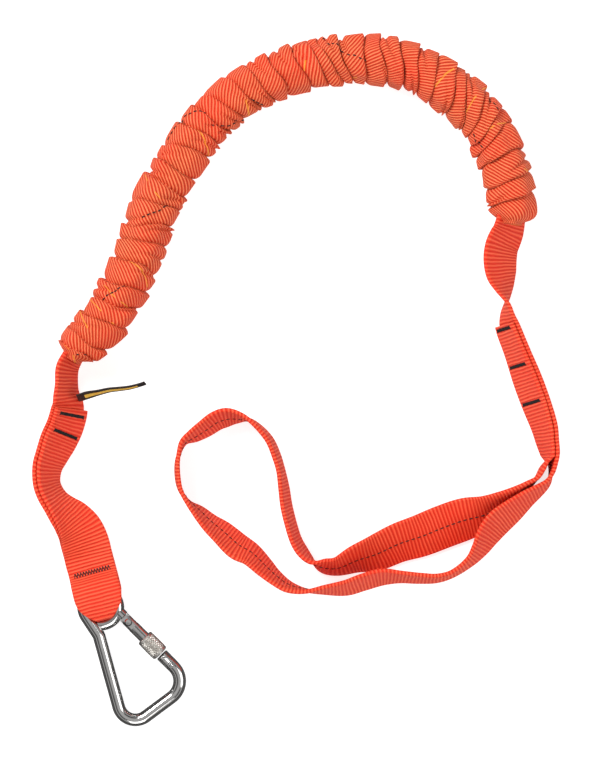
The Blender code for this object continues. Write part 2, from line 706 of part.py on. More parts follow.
def build_hook_and_gate():
    """The hook's pieces hang on one empty, which lies tilted on the surface."""
    holder = bpy.data.objects.new("hook_rest", None)
    PARTS.objects.link(holder)
    holder.location = HOOK_REST
    holder.rotation_euler = (HOOK_TILT, 0, 0)
    flat = bpy.data.objects.new("hook_plane", None)
    PARTS.objects.link(flat)
    flat.parent = holder
    flat.location = (-HOOK_REST.x, -HOOK_REST.y, 0)
    pivot = bpy.data.objects.new("gate_pivot", None)
    PARTS.objects.link(pivot)
    pivot.parent = flat
    pivot.location = RIVET
    pivot.rotation_euler = (0, 0, math.atan2(GATE_LINE.y, GATE_LINE.x))
    build_hook(flat, pivot)
    build_rivet(pivot)
    build_gate(pivot)
    build_gate_spring(pivot)
    build_plunger(pivot)
    build_sleeve(pivot)


build_hook_strap()
build_webbing_eye()
build_label()
build_bungee()
build_loop_strap()
build_hook_and_gate()
for piece in list(PARTS.objects) + list(CUTTERS.objects):
    if piece.parent is None:
        piece.location += CENTRING
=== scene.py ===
# %% [markdown]
# # An elastic tool lanyard, lying on a table
#
# The lanyard is orange webbing whose character changes along its length: flat where it
# is sewn round the hook, gathered into fat folds over the elastic core, and flat again
# where it runs out into the long choke loop. Every cell below makes one of those pieces,
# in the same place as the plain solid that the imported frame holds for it.

import math
import random

import bmesh
import bpy
import numpy as np
from mathutils import Matrix, Quaternion, Vector


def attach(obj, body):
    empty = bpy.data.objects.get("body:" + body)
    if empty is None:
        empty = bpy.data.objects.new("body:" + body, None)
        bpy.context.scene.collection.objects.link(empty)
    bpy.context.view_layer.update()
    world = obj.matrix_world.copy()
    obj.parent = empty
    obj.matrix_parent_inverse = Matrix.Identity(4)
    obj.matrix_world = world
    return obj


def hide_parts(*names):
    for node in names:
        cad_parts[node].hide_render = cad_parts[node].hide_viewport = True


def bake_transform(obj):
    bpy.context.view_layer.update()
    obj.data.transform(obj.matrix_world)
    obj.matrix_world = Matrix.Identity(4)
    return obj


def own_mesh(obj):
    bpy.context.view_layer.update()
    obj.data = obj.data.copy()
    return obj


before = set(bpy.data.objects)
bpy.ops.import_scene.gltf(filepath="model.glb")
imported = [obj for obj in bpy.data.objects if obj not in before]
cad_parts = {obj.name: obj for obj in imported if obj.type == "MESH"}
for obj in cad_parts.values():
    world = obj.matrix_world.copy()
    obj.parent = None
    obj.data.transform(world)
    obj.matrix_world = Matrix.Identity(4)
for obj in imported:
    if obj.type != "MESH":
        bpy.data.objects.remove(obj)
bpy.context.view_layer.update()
print(len(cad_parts), "plain solids to dress")

# %% [markdown]
# ## Camera, table and light
#
# The lanyard is seen from straight above. A long lens a good way off keeps the standing
# webbing from leaning outwards, as a near camera would make it.

# %% Camera
MM = 0.001
MIDDLE = Vector((-0.0005, 0.0004, 0))      # of what the camera frames
CAMERA_HEIGHT = 2.0
FRAMED_HEIGHT = 0.4104

camera_data = bpy.data.cameras.new("overhead")
camera_data.lens = camera_data.sensor_width * CAMERA_HEIGHT / FRAMED_HEIGHT
camera = bpy.data.objects.new("overhead", camera_data)
camera.location = MIDDLE + Vector((0, 0, CAMERA_HEIGHT))
bpy.context.scene.collection.objects.link(camera)
bpy.context.scene.camera = camera
print("lens", round(camera_data.lens), "mm")


# %% Soft studio light
def add_softbox(name, place, size, power):
    data = bpy.data.lights.new(name, "AREA")
    data.shape, data.size, data.energy = "SQUARE", size, power
    lamp = bpy.data.objects.new(name, data)
    lamp.location = place
    lamp.rotation_euler = (-Vector(place)).to_track_quat("-Z", "Y").to_euler()
    bpy.context.scene.collection.objects.link(lamp)


add_softbox("key_light", (-0.9, 0.9, 1.5), 0.7, 32)
add_softbox("fill_light", (1.1, -0.2, 1.2), 1.0, 8)
add_softbox("low_light", (0.0, -1.2, 0.9), 0.8, 5)

# %% [markdown]
# Polished wire shows whatever stands round it. In a room that is white all over it looks
# like plastic, so a studio hangs black cards between its lamps. The world below does
# the same: it is even for everything matt, and only what mirrors sees its dark bands.

# %% The room round the table
CARDS = [(0.0, 0.03), (0.22, 0.10), (0.40, 0.65), (0.58, 1.0), (0.68, 0.10), (0.84, 0.22),
         (0.97, 1.0), (1.0, 1.0)]       # height of the view, from level to overhead, and grey

world = bpy.data.worlds.new("studio")
world.use_nodes = True
room = world.node_tree


def room_node(kind, **sockets):
    node = room.nodes.new(kind)
    for socket, source in sockets.items():
        room.links.new(source, node.inputs[socket])
    return node


heights = room_node("ShaderNodeSeparateXYZ",
                    Vector=room.nodes.new("ShaderNodeTexCoord").outputs["Generated"])
cards = room_node("ShaderNodeValToRGB", Fac=heights.outputs["Z"])
while len(cards.color_ramp.elements) < len(CARDS):
    cards.color_ramp.elements.new(0.5)
for stop, (height, grey) in zip(cards.color_ramp.elements, CARDS):
    stop.position, stop.color = height, (grey, grey, grey, 1)
mirrored = room.nodes.new("ShaderNodeLightPath").outputs["Is Glossy Ray"]
seen = room.nodes.new("ShaderNodeMix")
seen.data_type = "RGBA"
seen.inputs[6].default_value = (1, 1, 1, 1)
room.links.new(mirrored, seen.inputs[0])
room.links.new(cards.outputs["Color"], seen.inputs[7])
backdrop = room.nodes["Background"]
backdrop.inputs["Strength"].default_value = 0.55
room.links.new(seen.outputs[2], backdrop.inputs["Color"])
bpy.context.scene.world = world
bpy.context.scene.view_settings.view_transform = "Standard"   # keeps the orange strong
print("room with", len(CARDS), "bands")

# %% [markdown]
# ## A small language for materials
#
# A material is a graph of nodes, but its maths is easier to read as maths. `Channel` wraps
# one socket and turns `+`, `*` and the rest into Math nodes. `Finish` makes every other
# kind of node with one method.


# %% Shader maths
class Channel:
    """A number that changes over a surface."""

    def __init__(self, finish, socket):
        self.finish, self.socket = finish, socket

    def maths(self, operation, *values):
        node = self.finish.node("ShaderNodeMath", {"operation": operation},
                                dict(enumerate(values)))
        return Channel(self.finish, node.outputs[0])

    def __add__(self, other):
        return self.maths("ADD", self, other)

    def __sub__(self, other):
        return self.maths("SUBTRACT", self, other)

    def __rsub__(self, other):
        return self.maths("SUBTRACT", other, self)

    def __mul__(self, other):
        return self.maths("MULTIPLY", self, other)

    def __pow__(self, other):
        return self.maths("POWER", self, other)

    def __gt__(self, other):
        return self.maths("GREATER_THAN", self, other)

    def __lt__(self, other):
        return self.maths("LESS_THAN", self, other)

    def sine(self):
        return self.maths("SINE", self)

    def size(self):
        return self.maths("ABSOLUTE", self)

    __radd__ = __add__
    __rmul__ = __mul__


# %% One method for every other node
class Finish:
    """A material that is being made."""

    def __init__(self, name, **uniform):
        self.material = bpy.data.materials.new(name)
        self.material.use_nodes = True
        self.tree = self.material.node_tree
        self.shader = self.tree.nodes["Principled BSDF"]
        for socket, value in uniform.items():
            self.shader.inputs[socket.replace("_", " ")].default_value = value

    def node(self, kind, settings=None, sockets=None):
        node = self.tree.nodes.new(kind)
        for name, value in (settings or {}).items():
            setattr(node, name, value)
        for key, value in (sockets or {}).items():
            self.feed(node.inputs[key], value)
        return node

    def feed(self, socket, value):
        if isinstance(value, Channel):
            value = value.socket
        if isinstance(value, bpy.types.NodeSocket):
            self.tree.links.new(value, socket)
        else:
            socket.default_value = value

    def set(self, socket, value):
        self.feed(self.shader.inputs[socket], value)

    def noise(self, scale, detail=3, stretch=None):
        where = self.node("ShaderNodeTexCoord").outputs["Object"]
        if stretch:
            where = self.node("ShaderNodeMapping", None,
                              {"Vector": where, "Scale": stretch}).outputs[0]
        node = self.node("ShaderNodeTexNoise", None,
                         {"Vector": where, "Scale": scale, "Detail": detail})
        return Channel(self, node.outputs["Fac"])

    def along_and_across(self):
        """Where a point is on its webbing: run from the start, and off the middle."""
        uv = self.node("ShaderNodeUVMap", {"uv_map": "run"}).outputs[0]
        parts = self.node("ShaderNodeSeparateXYZ", None, {0: uv})
        return Channel(self, parts.outputs[0]), Channel(self, parts.outputs[1])

    def blend(self, factor, one, two):
        node = self.node("ShaderNodeMix", {"data_type": "RGBA"},
                         {"Factor": factor, 6: one, 7: two})
        return node.outputs[2]

    def emboss(self, height, distance, strength=1.0):
        node = self.node("ShaderNodeBump", None,
                         {"Height": height, "Distance": distance, "Strength": strength})
        self.set("Normal", node.outputs[0])


print("material helpers ready")

# %% [markdown]
# ## Webbing
#
# Tubular webbing is woven so tightly that its weft stands up in ribs, about two
# millimetres apart, right across the tape. The grooves between them are painted a deep red
# as painted shade, for the light that gets in there and bounces off red yarn many times.
# The crests are painted pale as a painted highlight, and are slightly glossy. The ribs follow
# the tape wherever it goes, so the pattern is drawn on the tape's own run, which is stored
# as a UV map in metres.


# %% Webbing finish
YARN_PITCH = 0.85 * MM
RIB_WANDER = 1.1 * MM               # how far the ribs stray
RIB_HEIGHT = 0.5 * MM
SELVEDGE_HALF, SELVEDGE_DRIFT = 0.8 * MM, 10 * MM


# groove is the colour of painted shade in the rib grooves, body the tape's own orange, and crest
# the colour of a painted highlight on the rib crests
def make_webbing(name, pitch, groove, body, crest, seam):
    finish = Finish(name, Specular_IOR_Level=0.3, Sheen_Weight=0.08, Sheen_Roughness=0.4)
    finish.shader.inputs["Sheen Tint"].default_value = (1, 0.35, 0.15, 1)
    along, across = finish.along_and_across()
    wander = finish.noise(70, 2) * RIB_WANDER
    turn = 2 * math.pi / pitch
    rib = ((along + wander) * turn).sine() * 0.5 + 0.5
    yarn = ((across + along * 0.6) * (2 * math.pi / YARN_PITCH)).sine() * 0.5 + 0.5
    # this noise varies the colour at random, and also sets how strong the painted highlight on
    # the crests is
    dye_and_highlight_strength = finish.noise(38, 4)
    fuzz = finish.noise(2600, 2)
    # painted shade: the grooves between the ribs are coloured a darker red
    depth = finish.blend(rib ** 0.6, groove, body)
    # painted highlight: the crests of the ribs are coloured pale
    painted_shade_and_highlight = finish.blend((rib ** 4) * (dye_and_highlight_strength * 0.8 + 0.15), depth, crest)
    spread = finish.node("ShaderNodeMapRange", None,
                         {"Value": dye_and_highlight_strength, "From Min": 0.35, "From Max": 0.65})
    shade = finish.blend(Channel(finish, spread.outputs[0]) * 0.45, painted_shade_and_highlight,
                         (0.80, 0.018, 0.002, 1))
    if seam:
        # the selvedge shows as a thin yellow line wherever the gathers turn it up
        drift = (finish.noise(22, 1) - 0.5) * SELVEDGE_DRIFT
        line = (across + drift).size() < SELVEDGE_HALF
        shade = finish.blend(line * (finish.noise(60, 1) > 0.5) * 0.55, shade,
                             (0.95, 0.42, 0.03, 1))
    finish.set("Base Color", shade)
    finish.set("Roughness", 0.75 - rib * 0.22)
    finish.emboss(rib ** 0.6 + yarn * 0.16 + fuzz * 0.12, RIB_HEIGHT, 0.8)
    return finish.material


# the three colours of each: painted shade in the grooves, the tape's own orange, painted
# highlight on the crests
FLAT_WEBBING = make_webbing("flat_webbing", 1.9 * MM, (0.62, 0.018, 0.005, 1),
                            (0.84, 0.070, 0.021, 1), (0.98, 0.20, 0.095, 1), False)
GATHERED_WEBBING = make_webbing("gathered_webbing", 1.6 * MM, (0.42, 0.011, 0.001, 1),
                                (0.80, 0.105, 0.022, 1), (0.98, 0.44, 0.22, 1), True)
print("webbing finishes made")


# %% Thread, label and hidden elastic
SATIN_PITCH = 0.5 * MM
PANEL_START, PANEL_END, PANEL_HALF = 4 * MM, 33 * MM, 6 * MM


def make_thread():
    finish = Finish("black_thread", Specular_IOR_Level=0.4)
    strand = finish.noise(900, 2)
    finish.set("Base Color", finish.blend(strand, (0.003, 0.003, 0.003, 1),
                                          (0.016, 0.014, 0.014, 1)))
    finish.set("Roughness", 0.55 + strand * 0.25)
    finish.emboss(strand, 0.0002, 0.6)
    return finish.material


def make_label_cloth():
    """Black satin with one yellow panel, and nothing written on it."""
    finish = Finish("label_cloth", Specular_IOR_Level=0.45)
    along, across = finish.along_and_across()
    turn = 2 * math.pi / SATIN_PITCH
    thread = (along * turn).sine() * (across * turn).sine()
    panel = (along > PANEL_START) * (along < PANEL_END) * (across.size() < PANEL_HALF)
    finish.set("Base Color", finish.blend(panel, (0.010, 0.009, 0.008, 1),
                                          (0.80, 0.50, 0.03, 1)))
    finish.set("Roughness", 0.5 + thread * 0.1)
    finish.emboss(thread + panel * 0.6, 0.00012, 0.7)
    return finish.material


def make_elastic():
    finish = Finish("elastic")
    knit = finish.noise(1200, 2)
    finish.set("Base Color", finish.blend(knit, (0.55, 0.50, 0.42, 1), (0.80, 0.77, 0.70, 1)))
    finish.set("Roughness", 0.7 + knit * 0.2)
    return finish.material


THREAD = make_thread()
LABEL_CLOTH = make_label_cloth()
ELASTIC = make_elastic()
print("sewing finishes made")


# %% Metals
def make_polished():
    """Electropolished stainless wire: bright, with faint drawing lines."""
    finish = Finish("polished_stainless", Metallic=1.0)
    smear = finish.noise(90, 4)
    scratch = finish.noise(700, 3, stretch=(1, 0.15, 1))
    finish.set("Base Color", finish.blend(smear, (0.52, 0.51, 0.50, 1),
                                          (0.72, 0.71, 0.70, 1)))
    finish.set("Roughness", smear * 0.10 + scratch * 0.06 + 0.04)
    finish.emboss(scratch, 0.00004, 0.3)
    return finish.material


def make_knurled():
    """Turned steel, warmer and duller than the wire, with worn crests."""
    finish = Finish("knurled_steel", Metallic=1.0)
    wear = finish.noise(420, 3)
    finish.set("Base Color", finish.blend(wear, (0.52, 0.49, 0.45, 1),
                                          (0.86, 0.83, 0.78, 1)))
    finish.set("Roughness", wear * 0.25 + 0.25)
    finish.emboss(wear, 0.00008, 0.4)
    return finish.material


def make_spring_steel():
    finish = Finish("spring_steel", Metallic=1.0)
    drawn = finish.noise(500, 2, stretch=(0.2, 1, 1))
    finish.set("Base Color", finish.blend(drawn, (0.30, 0.30, 0.30, 1),
                                          (0.52, 0.52, 0.51, 1)))
    finish.set("Roughness", drawn * 0.2 + 0.25)
    return finish.material


def make_table():
    """White and even to the eye, with its own glow, but dark where metal mirrors it."""
    finish = Finish("pale_table", Specular_IOR_Level=0.1, Emission_Strength=0.75)
    mirrored = Channel(finish, finish.node("ShaderNodeLightPath").outputs["Is Glossy Ray"])
    cloud = finish.noise(3, 2)
    paper = finish.blend(cloud, (0.48, 0.48, 0.48, 1), (0.52, 0.52, 0.52, 1))
    finish.set("Base Color", finish.blend(mirrored, paper, (0.06, 0.06, 0.06, 1)))
    finish.set("Emission Color", finish.blend(mirrored, (1, 1, 1, 1), (0.03, 0.03, 0.03, 1)))
    finish.set("Roughness", 0.8 + cloud * 0.1)
    return finish.material


POLISHED = make_polished()
KNURLED = make_knurled()
SPRING_STEEL = make_spring_steel()
print("metals made")


# %% The table top
def add_piece(name, mesh, material):
    piece = bpy.data.objects.new(name, mesh)
    mesh.materials.clear()
    mesh.materials.append(material)
    bpy.context.scene.collection.objects.link(piece)
    return piece


TABLE_HALF, TABLE_DROP = 3.0, 0.2 * MM      # it lies a hair below, so nothing flickers
table_mesh = bpy.data.meshes.new("table_top")
table_mesh.from_pydata([(x * TABLE_HALF, y * TABLE_HALF, -TABLE_DROP)
                        for x, y in ((-1, -1), (1, -1), (1, 1), (-1, 1))], [], [(0, 1, 2, 3)])
add_piece("table_top", table_mesh, make_table())
print("table laid")

# %% [markdown]
# ## How a tape lies
#
# A flat tape is described by a line on the table and by how far the tape has rolled over:
# at 0 it lies flat, at 90 it stands on its edge, and past that it leans the other way. Its
# low edge always touches the table. A smooth curve through a few listed rows gives
# the whole tape, cross-section by cross-section.

# %% Tape sizes
TAPE_WIDTH = 26 * MM
TAPE_THICK = 2.4 * MM
LAYER_STEP = 2.7 * MM            # from one layer of sewn tape to the next


def smooth_rows(points, step):
    known = np.array(points, dtype=float)
    padded = np.vstack([2 * known[0] - known[1], known, 2 * known[-1] - known[-2]])
    fine = []
    for a, b, c, d in zip(padded, padded[1:], padded[2:], padded[3:]):
        for t in np.linspace(0, 1, 12, endpoint=False):
            fine.append(0.5 * (2 * b + (c - a) * t + (2 * a - 5 * b + 4 * c - d) * t ** 2
                               + (3 * b - a - 3 * c + d) * t ** 3))
    fine = np.array(fine + [known[-1]])
    runs = np.linalg.norm(np.diff(fine[:, :2], axis=0), axis=1)
    reached = np.concatenate([[0], np.cumsum(runs)])
    at = np.linspace(0, reached[-1], max(2, round(reached[-1] / step) + 1))
    return np.array([np.interp(at, reached, column) for column in fine.T]).T


class Section:
    """One cross-section of a tape."""

    def __init__(self, middle, run, across, half_width):
        self.middle = Vector(middle)
        self.run = Vector(run).normalized()
        self.across = Vector(across).normalized()
        self.face = self.run.cross(self.across).normalized()
        self.half_width = half_width

    def moved(self, offset):
        return Section(self.middle + self.face * offset, self.run, self.across,
                       self.half_width)

    def turned_back(self):
        return Section(self.middle, -self.run, self.across, self.half_width)

    def at(self, across, out):
        return self.middle + self.across * across + self.face * out


def lay_tape(route, width=TAPE_WIDTH, thick=TAPE_THICK, heights=None, step=1 * MM):
    rows = smooth_rows(route, step)
    runs = np.gradient(rows[:, :2], axis=0)
    sections = []
    for number, (row, run) in enumerate(zip(rows, runs)):
        roll = math.radians(row[2])
        run = Vector((run[0], run[1], 0)).normalized()
        left = Vector((-run.y, run.x, 0))
        across = left * math.cos(roll) + Vector((0, 0, math.sin(roll)))
        height = width / 2 * abs(math.sin(roll)) + thick / 2 * abs(math.cos(roll))
        if heights:
            part = number / (len(rows) - 1)
            height = heights[0] * (1 - part) + heights[1] * part
        middle = Vector((row[0], row[1], height)) + MIDDLE
        sections.append(Section(middle, run, across, width / 2))
    return sections


def nearest(sections, place):
    spot = Vector((*place, 0)) + MIDDLE
    return min(range(len(sections)), key=lambda n: (sections[n].middle.xy - spot.xy).length)


# %% Weave a tape through its sections
TAPE_COLUMNS, EDGE_STEPS = 22, 5
PINCH_REACH = 1.1 * MM
EDGE_RIPPLE = 0.05 * MM


def tape_outline(half_width, thick, pinch):
    """Once round a tape's section, as pairs: off the middle, and out.

    The row of stitches pinches the tape along its middle.
    """
    round_end = thick / 2
    flat = half_width - round_end
    face, back = [], []
    for number in range(TAPE_COLUMNS + 1):
        off = flat * math.cos(math.pi * number / TAPE_COLUMNS)
        nip = pinch * math.exp(-(off / PINCH_REACH) ** 2)
        face.append((off, round_end - nip))
        back.append((off, nip - round_end))
    edges = [math.pi * n / EDGE_STEPS for n in range(1, EDGE_STEPS)]
    far = [(-flat - round_end * math.sin(a), round_end * math.cos(a)) for a in edges]
    near = [(flat + round_end * math.sin(a), -round_end * math.cos(a)) for a in edges]
    return face + far + back[::-1] + near


def cloth_mesh(name, points, faces, uvs):
    """A closed smooth mesh, facing out, with its run stored as a UV map in metres."""
    mesh = bpy.data.meshes.new(name)
    mesh.from_pydata(points, [], faces)
    layer = mesh.uv_layers.new(name="run")
    layer.data.foreach_set("uv", np.array(uvs, dtype=np.float32).ravel())
    mesh.shade_smooth()
    build = bmesh.new()
    build.from_mesh(mesh)
    if build.calc_volume(signed=True) < 0:
        bmesh.ops.reverse_faces(build, faces=build.faces)
        build.to_mesh(mesh)
    build.free()
    return mesh


def weave_tape(name, sections, material, thick=TAPE_THICK, pinch=0.0, seed=3):
    dice = random.Random(seed)
    waves = [(dice.uniform(35, 110), dice.uniform(0, 6.3)) for _ in range(4)]
    points, along, reached = [], [], 0.0
    for number, section in enumerate(sections):
        if number:
            reached += (section.middle - sections[number - 1].middle).length
        along.append(reached)
        ripple = sum(math.sin(reached * f * 2 + p) for f, p in waves) * EDGE_RIPPLE
        outline = tape_outline(section.half_width + ripple, thick, pinch)
        points += [section.at(*pair) for pair in outline]
    sides = len(outline)
    offs = [pair[0] for pair in tape_outline(TAPE_WIDTH / 2, thick, pinch)]
    faces, uvs = [], []
    for ring in range(len(sections) - 1):
        for one in range(sides):
            two = (one + 1) % sides
            faces.append((ring * sides + one, ring * sides + two,
                          (ring + 1) * sides + two, (ring + 1) * sides + one))
            uvs += [(along[ring], offs[one]), (along[ring], offs[two]),
                    (along[ring + 1], offs[two]), (along[ring + 1], offs[one])]
    last = (len(sections) - 1) * sides
    faces += [tuple(reversed(range(sides))), tuple(range(last, last + sides))]
    uvs += [(along[0], off) for off in reversed(offs)] + [(along[-1], off) for off in offs]
    return add_piece(name, cloth_mesh(name, points, faces, uvs), material), reached


print("tape tools ready")

# %% [markdown]
# ## The webbing at the hook
#
# One tape leaves the bungee, runs down to the hook, goes through its eye and comes back
# on top of itself, where two bar tacks and a wide zigzag tack hold it. It is made as one
# piece, because that is what it is: the lower layer, the bend through the eye, and the
# upper layer up to its cut end.

# %% Lower layer, bend and upper layer
HOOK_ROUTE = [
    (-0.1222, 0.0062, -68), (-0.1226, -0.0022, -68), (-0.1226, -0.0081, -63),
    (-0.1220, -0.0146, -54), (-0.1242, -0.0238, -52), (-0.1280, -0.0324, -52),
    (-0.1312, -0.0394, -58), (-0.1337, -0.0454, -63), (-0.1346, -0.0513, -67),
    (-0.1342, -0.0567, -69), (-0.1323, -0.0616, -69), (-0.1293, -0.0662, -67),
    (-0.1253, -0.0707, -58), (-0.1204, -0.0756, -43), (-0.1161, -0.0815, -28),
    (-0.1131, -0.0891, -13), (-0.1112, -0.0962, 0), (-0.1099, -0.1010, 0)]
TAIL_START = (-0.1220, -0.0150)
FOLD = Vector((-0.1099, -0.1010, 0)) + MIDDLE
FOLD_LINE = Vector((0.0013, -0.0048, 0)).normalized()
EYE_BEND = [                       # run from the fold, height and half width, in mm
    (0.4, 1.25, 13.0), (5.0, 1.25, 13.0), (10.0, 1.25, 13.0), (15.0, 1.25, 12.8),
    (19.0, 1.25, 11.4), (22.6, 1.35, 8.4), (24.6, 2.3, 5.2), (25.4, 4.0, 3.2),
    (25.5, 5.6, 2.9), (26.0, 7.2, 2.9), (26.9, 8.7, 3.2), (27.9, 10.1, 4.2),
    (27.0, 11.3, 6.3), (24.5, 12.0, 9.0), (21.0, 12.4, 11.6), (17.0, 12.4, 12.8),
    (12.8, 11.9, 13.0), (9.0, 10.2, 13.0), (7.0, 8.0, 13.0), (5.0, 5.6, 13.0),
    (3.0, 4.3, 13.0), (0.4, 3.95, 13.0)]

base_layer = lay_tape([(-0.1190, 0.0130, -70)] + HOOK_ROUTE)
tail_from = nearest(base_layer, TAIL_START)
upper_layer = [one.moved(LAYER_STEP).turned_back() for one in reversed(base_layer[tail_from:])]


def bend_through_eye():
    rows = smooth_rows(EYE_BEND, 0.8)
    side = Vector((-FOLD_LINE.y, FOLD_LINE.x, 0))
    sections = []
    for row, slope in zip(rows, np.gradient(rows, axis=0)):
        heading = FOLD_LINE * slope[0] + Vector((0, 0, slope[1]))
        middle = FOLD + FOLD_LINE * row[0] * MM + Vector((0, 0, row[1] * MM))
        sections.append(Section(middle, heading, side, row[2] * MM))
    return sections


eye_sections = bend_through_eye()
hook_sections = base_layer + eye_sections + upper_layer
hook_tape, hook_tape_length = weave_tape("hook_tape", hook_sections, FLAT_WEBBING)
print("hook tape is", round(hook_tape_length * 1000), "mm long")

# %% [markdown]
# ## The choke loop
#
# The other tape leaves the bungee, twists once, runs out along one leg, round the bight
# and back along the other leg, and ends under the tacks that close the loop. A row of
# black stitches runs down the middle of its inner face and pinches it into a shallow
# valley.

# %% Neck, legs, bight and tail
NECK_ROUTE = [
    (0.1146, 0.0800, -50), (0.1129, 0.0760, -47), (0.1110, 0.0713, -46),
    (0.1102, 0.0648, -46), (0.1107, 0.0567, -51), (0.1121, 0.0497, -65),
    (0.1132, 0.0443, -80), (0.1137, 0.0400, -92), (0.1140, 0.0340, -102),
    (0.1154, 0.0283, -108), (0.1206, 0.0149, -110), (0.1260, 0.0000, -115),
    (0.1306, -0.0124, -115), (0.1348, -0.0243, -111), (0.1366, -0.0324, -106),
    (0.1380, -0.0389, -101), (0.1382, -0.0448, -94), (0.1375, -0.0502, -88),
    (0.1345, -0.0562, -80)]
LOOP_ROUTE = [
    (0.1242, -0.0640, -68), (0.1164, -0.0705, -60), (0.1091, -0.0767, -56),
    (0.1037, -0.0834, -60), (0.0996, -0.0902, -68), (0.0940, -0.0972, -77),
    (0.0850, -0.1037, -81), (0.0764, -0.1064, -80), (0.0667, -0.1064, -78),
    (0.0567, -0.1057, -76), (0.0467, -0.1058, -70), (0.0367, -0.1085, -69),
    (0.0275, -0.1115, -71), (0.0162, -0.1126, -79), (0.0054, -0.1131, -89),
    (-0.0038, -0.1107, -98), (-0.0108, -0.1058, -103), (-0.0167, -0.1002, -109),
    (-0.0238, -0.0934, -114), (-0.0310, -0.0891, -119), (-0.0389, -0.0821, -115),
    (-0.0454, -0.0769, -108), (-0.0518, -0.0707, -100), (-0.0572, -0.0659, -90),
    (-0.0613, -0.0594, -87), (-0.0629, -0.0529, -86), (-0.0632, -0.0448, -87),
    (-0.0618, -0.0378, -90), (-0.0594, -0.0329, -95), (-0.0540, -0.0297, -104),
    (-0.0480, -0.0259, -109), (-0.0421, -0.0219, -111), (-0.0362, -0.0200, -110),
    (-0.0302, -0.0200, -101), (-0.0248, -0.0213, -91), (-0.0189, -0.0259, -87),
    (-0.0135, -0.0324, -85), (-0.0100, -0.0405, -84), (-0.0076, -0.0486, -84),
    (-0.0059, -0.0583, -81), (-0.0046, -0.0675, -80), (-0.0024, -0.0767, -80),
    (0.0005, -0.0859, -80), (0.0043, -0.0923, -81), (0.0089, -0.0970, -88),
    (0.0148, -0.0996, -106), (0.0227, -0.1000, -113), (0.0329, -0.0961, -126),
    (0.0437, -0.0929, -140), (0.0559, -0.0875, -147), (0.0678, -0.0837, -152),
    (0.0802, -0.0788, -155), (0.0910, -0.0750, -153), (0.1021, -0.0718, -140),
    (0.1118, -0.0667, -125), (0.1191, -0.0616, -112), (0.1253, -0.0564, -100),
    (0.1299, -0.0524, -93), (0.1326, -0.0478, -91), (0.1350, -0.0440, -94)]
TAIL_JOINS = (0.1381, -0.0405)
TAIL_ENDS = (0.1142, 0.0300)

outer_run = lay_tape([(0.1162, 0.0870, -54)] + NECK_ROUTE + LOOP_ROUTE)
neck = outer_run[:nearest(outer_run, NECK_ROUTE[-2][:2])]
tail_first, tail_last = nearest(neck, TAIL_ENDS), nearest(neck, TAIL_JOINS)
tail_layer = [one.turned_back().moved(LAYER_STEP)
              for one in reversed(neck[tail_first:tail_last + 1])]
loop_sections = outer_run + tail_layer
loop_tape, loop_tape_length = weave_tape("loop_tape", loop_sections, FLAT_WEBBING,
                                         pinch=0.15 * MM, seed=8)
print("loop tape is", round(loop_tape_length * 1000), "mm long")

# %% [markdown]
# ## Stitches
#
# Every stitch is the same short bead of thread, so Geometry Nodes sets them out: a guide
# line is cut into equal steps and one bead is put on each, turned to lie along the line
# and pressed against the face of the tape. The sizes are inputs, so one tree sews the
# running stitch and the tacks.


# %% A tree that sews
class Recipe:
    """A Geometry Nodes tree with named inputs."""

    def __init__(self, name, *numbers):
        self.tree = bpy.data.node_groups.new(name, "GeometryNodeTree")
        sockets = [("Geometry", "INPUT", "Geometry")]
        sockets += [(label, "INPUT", "Float") for label in numbers]
        sockets += [("Material", "INPUT", "Material"), ("Geometry", "OUTPUT", "Geometry")]
        for label, way, kind in sockets:
            self.tree.interface.new_socket(label, in_out=way, socket_type="NodeSocket" + kind)
        self.given = self.tree.nodes.new("NodeGroupInput").outputs
        self.result = self.tree.nodes.new("NodeGroupOutput").inputs

    def node(self, kind, settings=None, sockets=None):
        """Adds a node and returns what comes out of it first."""
        node = self.tree.nodes.new(kind)
        for name, value in (settings or {}).items():
            setattr(node, name, value)
        for key, value in (sockets or {}).items():
            if isinstance(value, bpy.types.NodeSocket):
                self.tree.links.new(value, node.inputs[key])
            else:
                node.inputs[key].default_value = value
        return node.outputs[0]

    def steps(self):
        """The guide line, cut into equal steps."""
        line = self.node("GeometryNodeMeshToCurve", None, {"Mesh": self.given["Geometry"]})
        return self.node("GeometryNodeResampleCurve", {"mode": "LENGTH"},
                         {"Curve": line, "Length": self.given["Step"]})

    def named(self, name):
        """A direction that is stored on the guide's points."""
        return self.node("GeometryNodeInputNamedAttribute", {"data_type": "FLOAT_VECTOR"},
                         {"Name": name})

    def align(self, axis, vector, **rest):
        """Turns an axis to a direction; rest may hold a pivot and a rotation to start from."""
        settings = {"axis": axis, **({"pivot_axis": rest["pivot"]} if rest else {})}
        sockets = {"Vector": vector, **({"Rotation": rest["start"]} if rest else {})}
        return self.node("FunctionNodeAlignRotationToVector", settings, sockets)

    def set_out(self, points, shape, rotation, smooth=True, **scale):
        """Puts a shape on every point, makes it real and gives it the material."""
        placed = self.node("GeometryNodeInstanceOnPoints", None,
                           {"Points": points, "Instance": shape, "Rotation": rotation, **scale})
        real = self.node("GeometryNodeRealizeInstances", None, {0: placed})
        if smooth:
            real = self.node("GeometryNodeSetShadeSmooth", None, {"Geometry": real})
        coated = self.node("GeometryNodeSetMaterial", None,
                           {"Geometry": real, "Material": self.given["Material"]})
        self.tree.links.new(coated, self.result[0])
        return self.tree


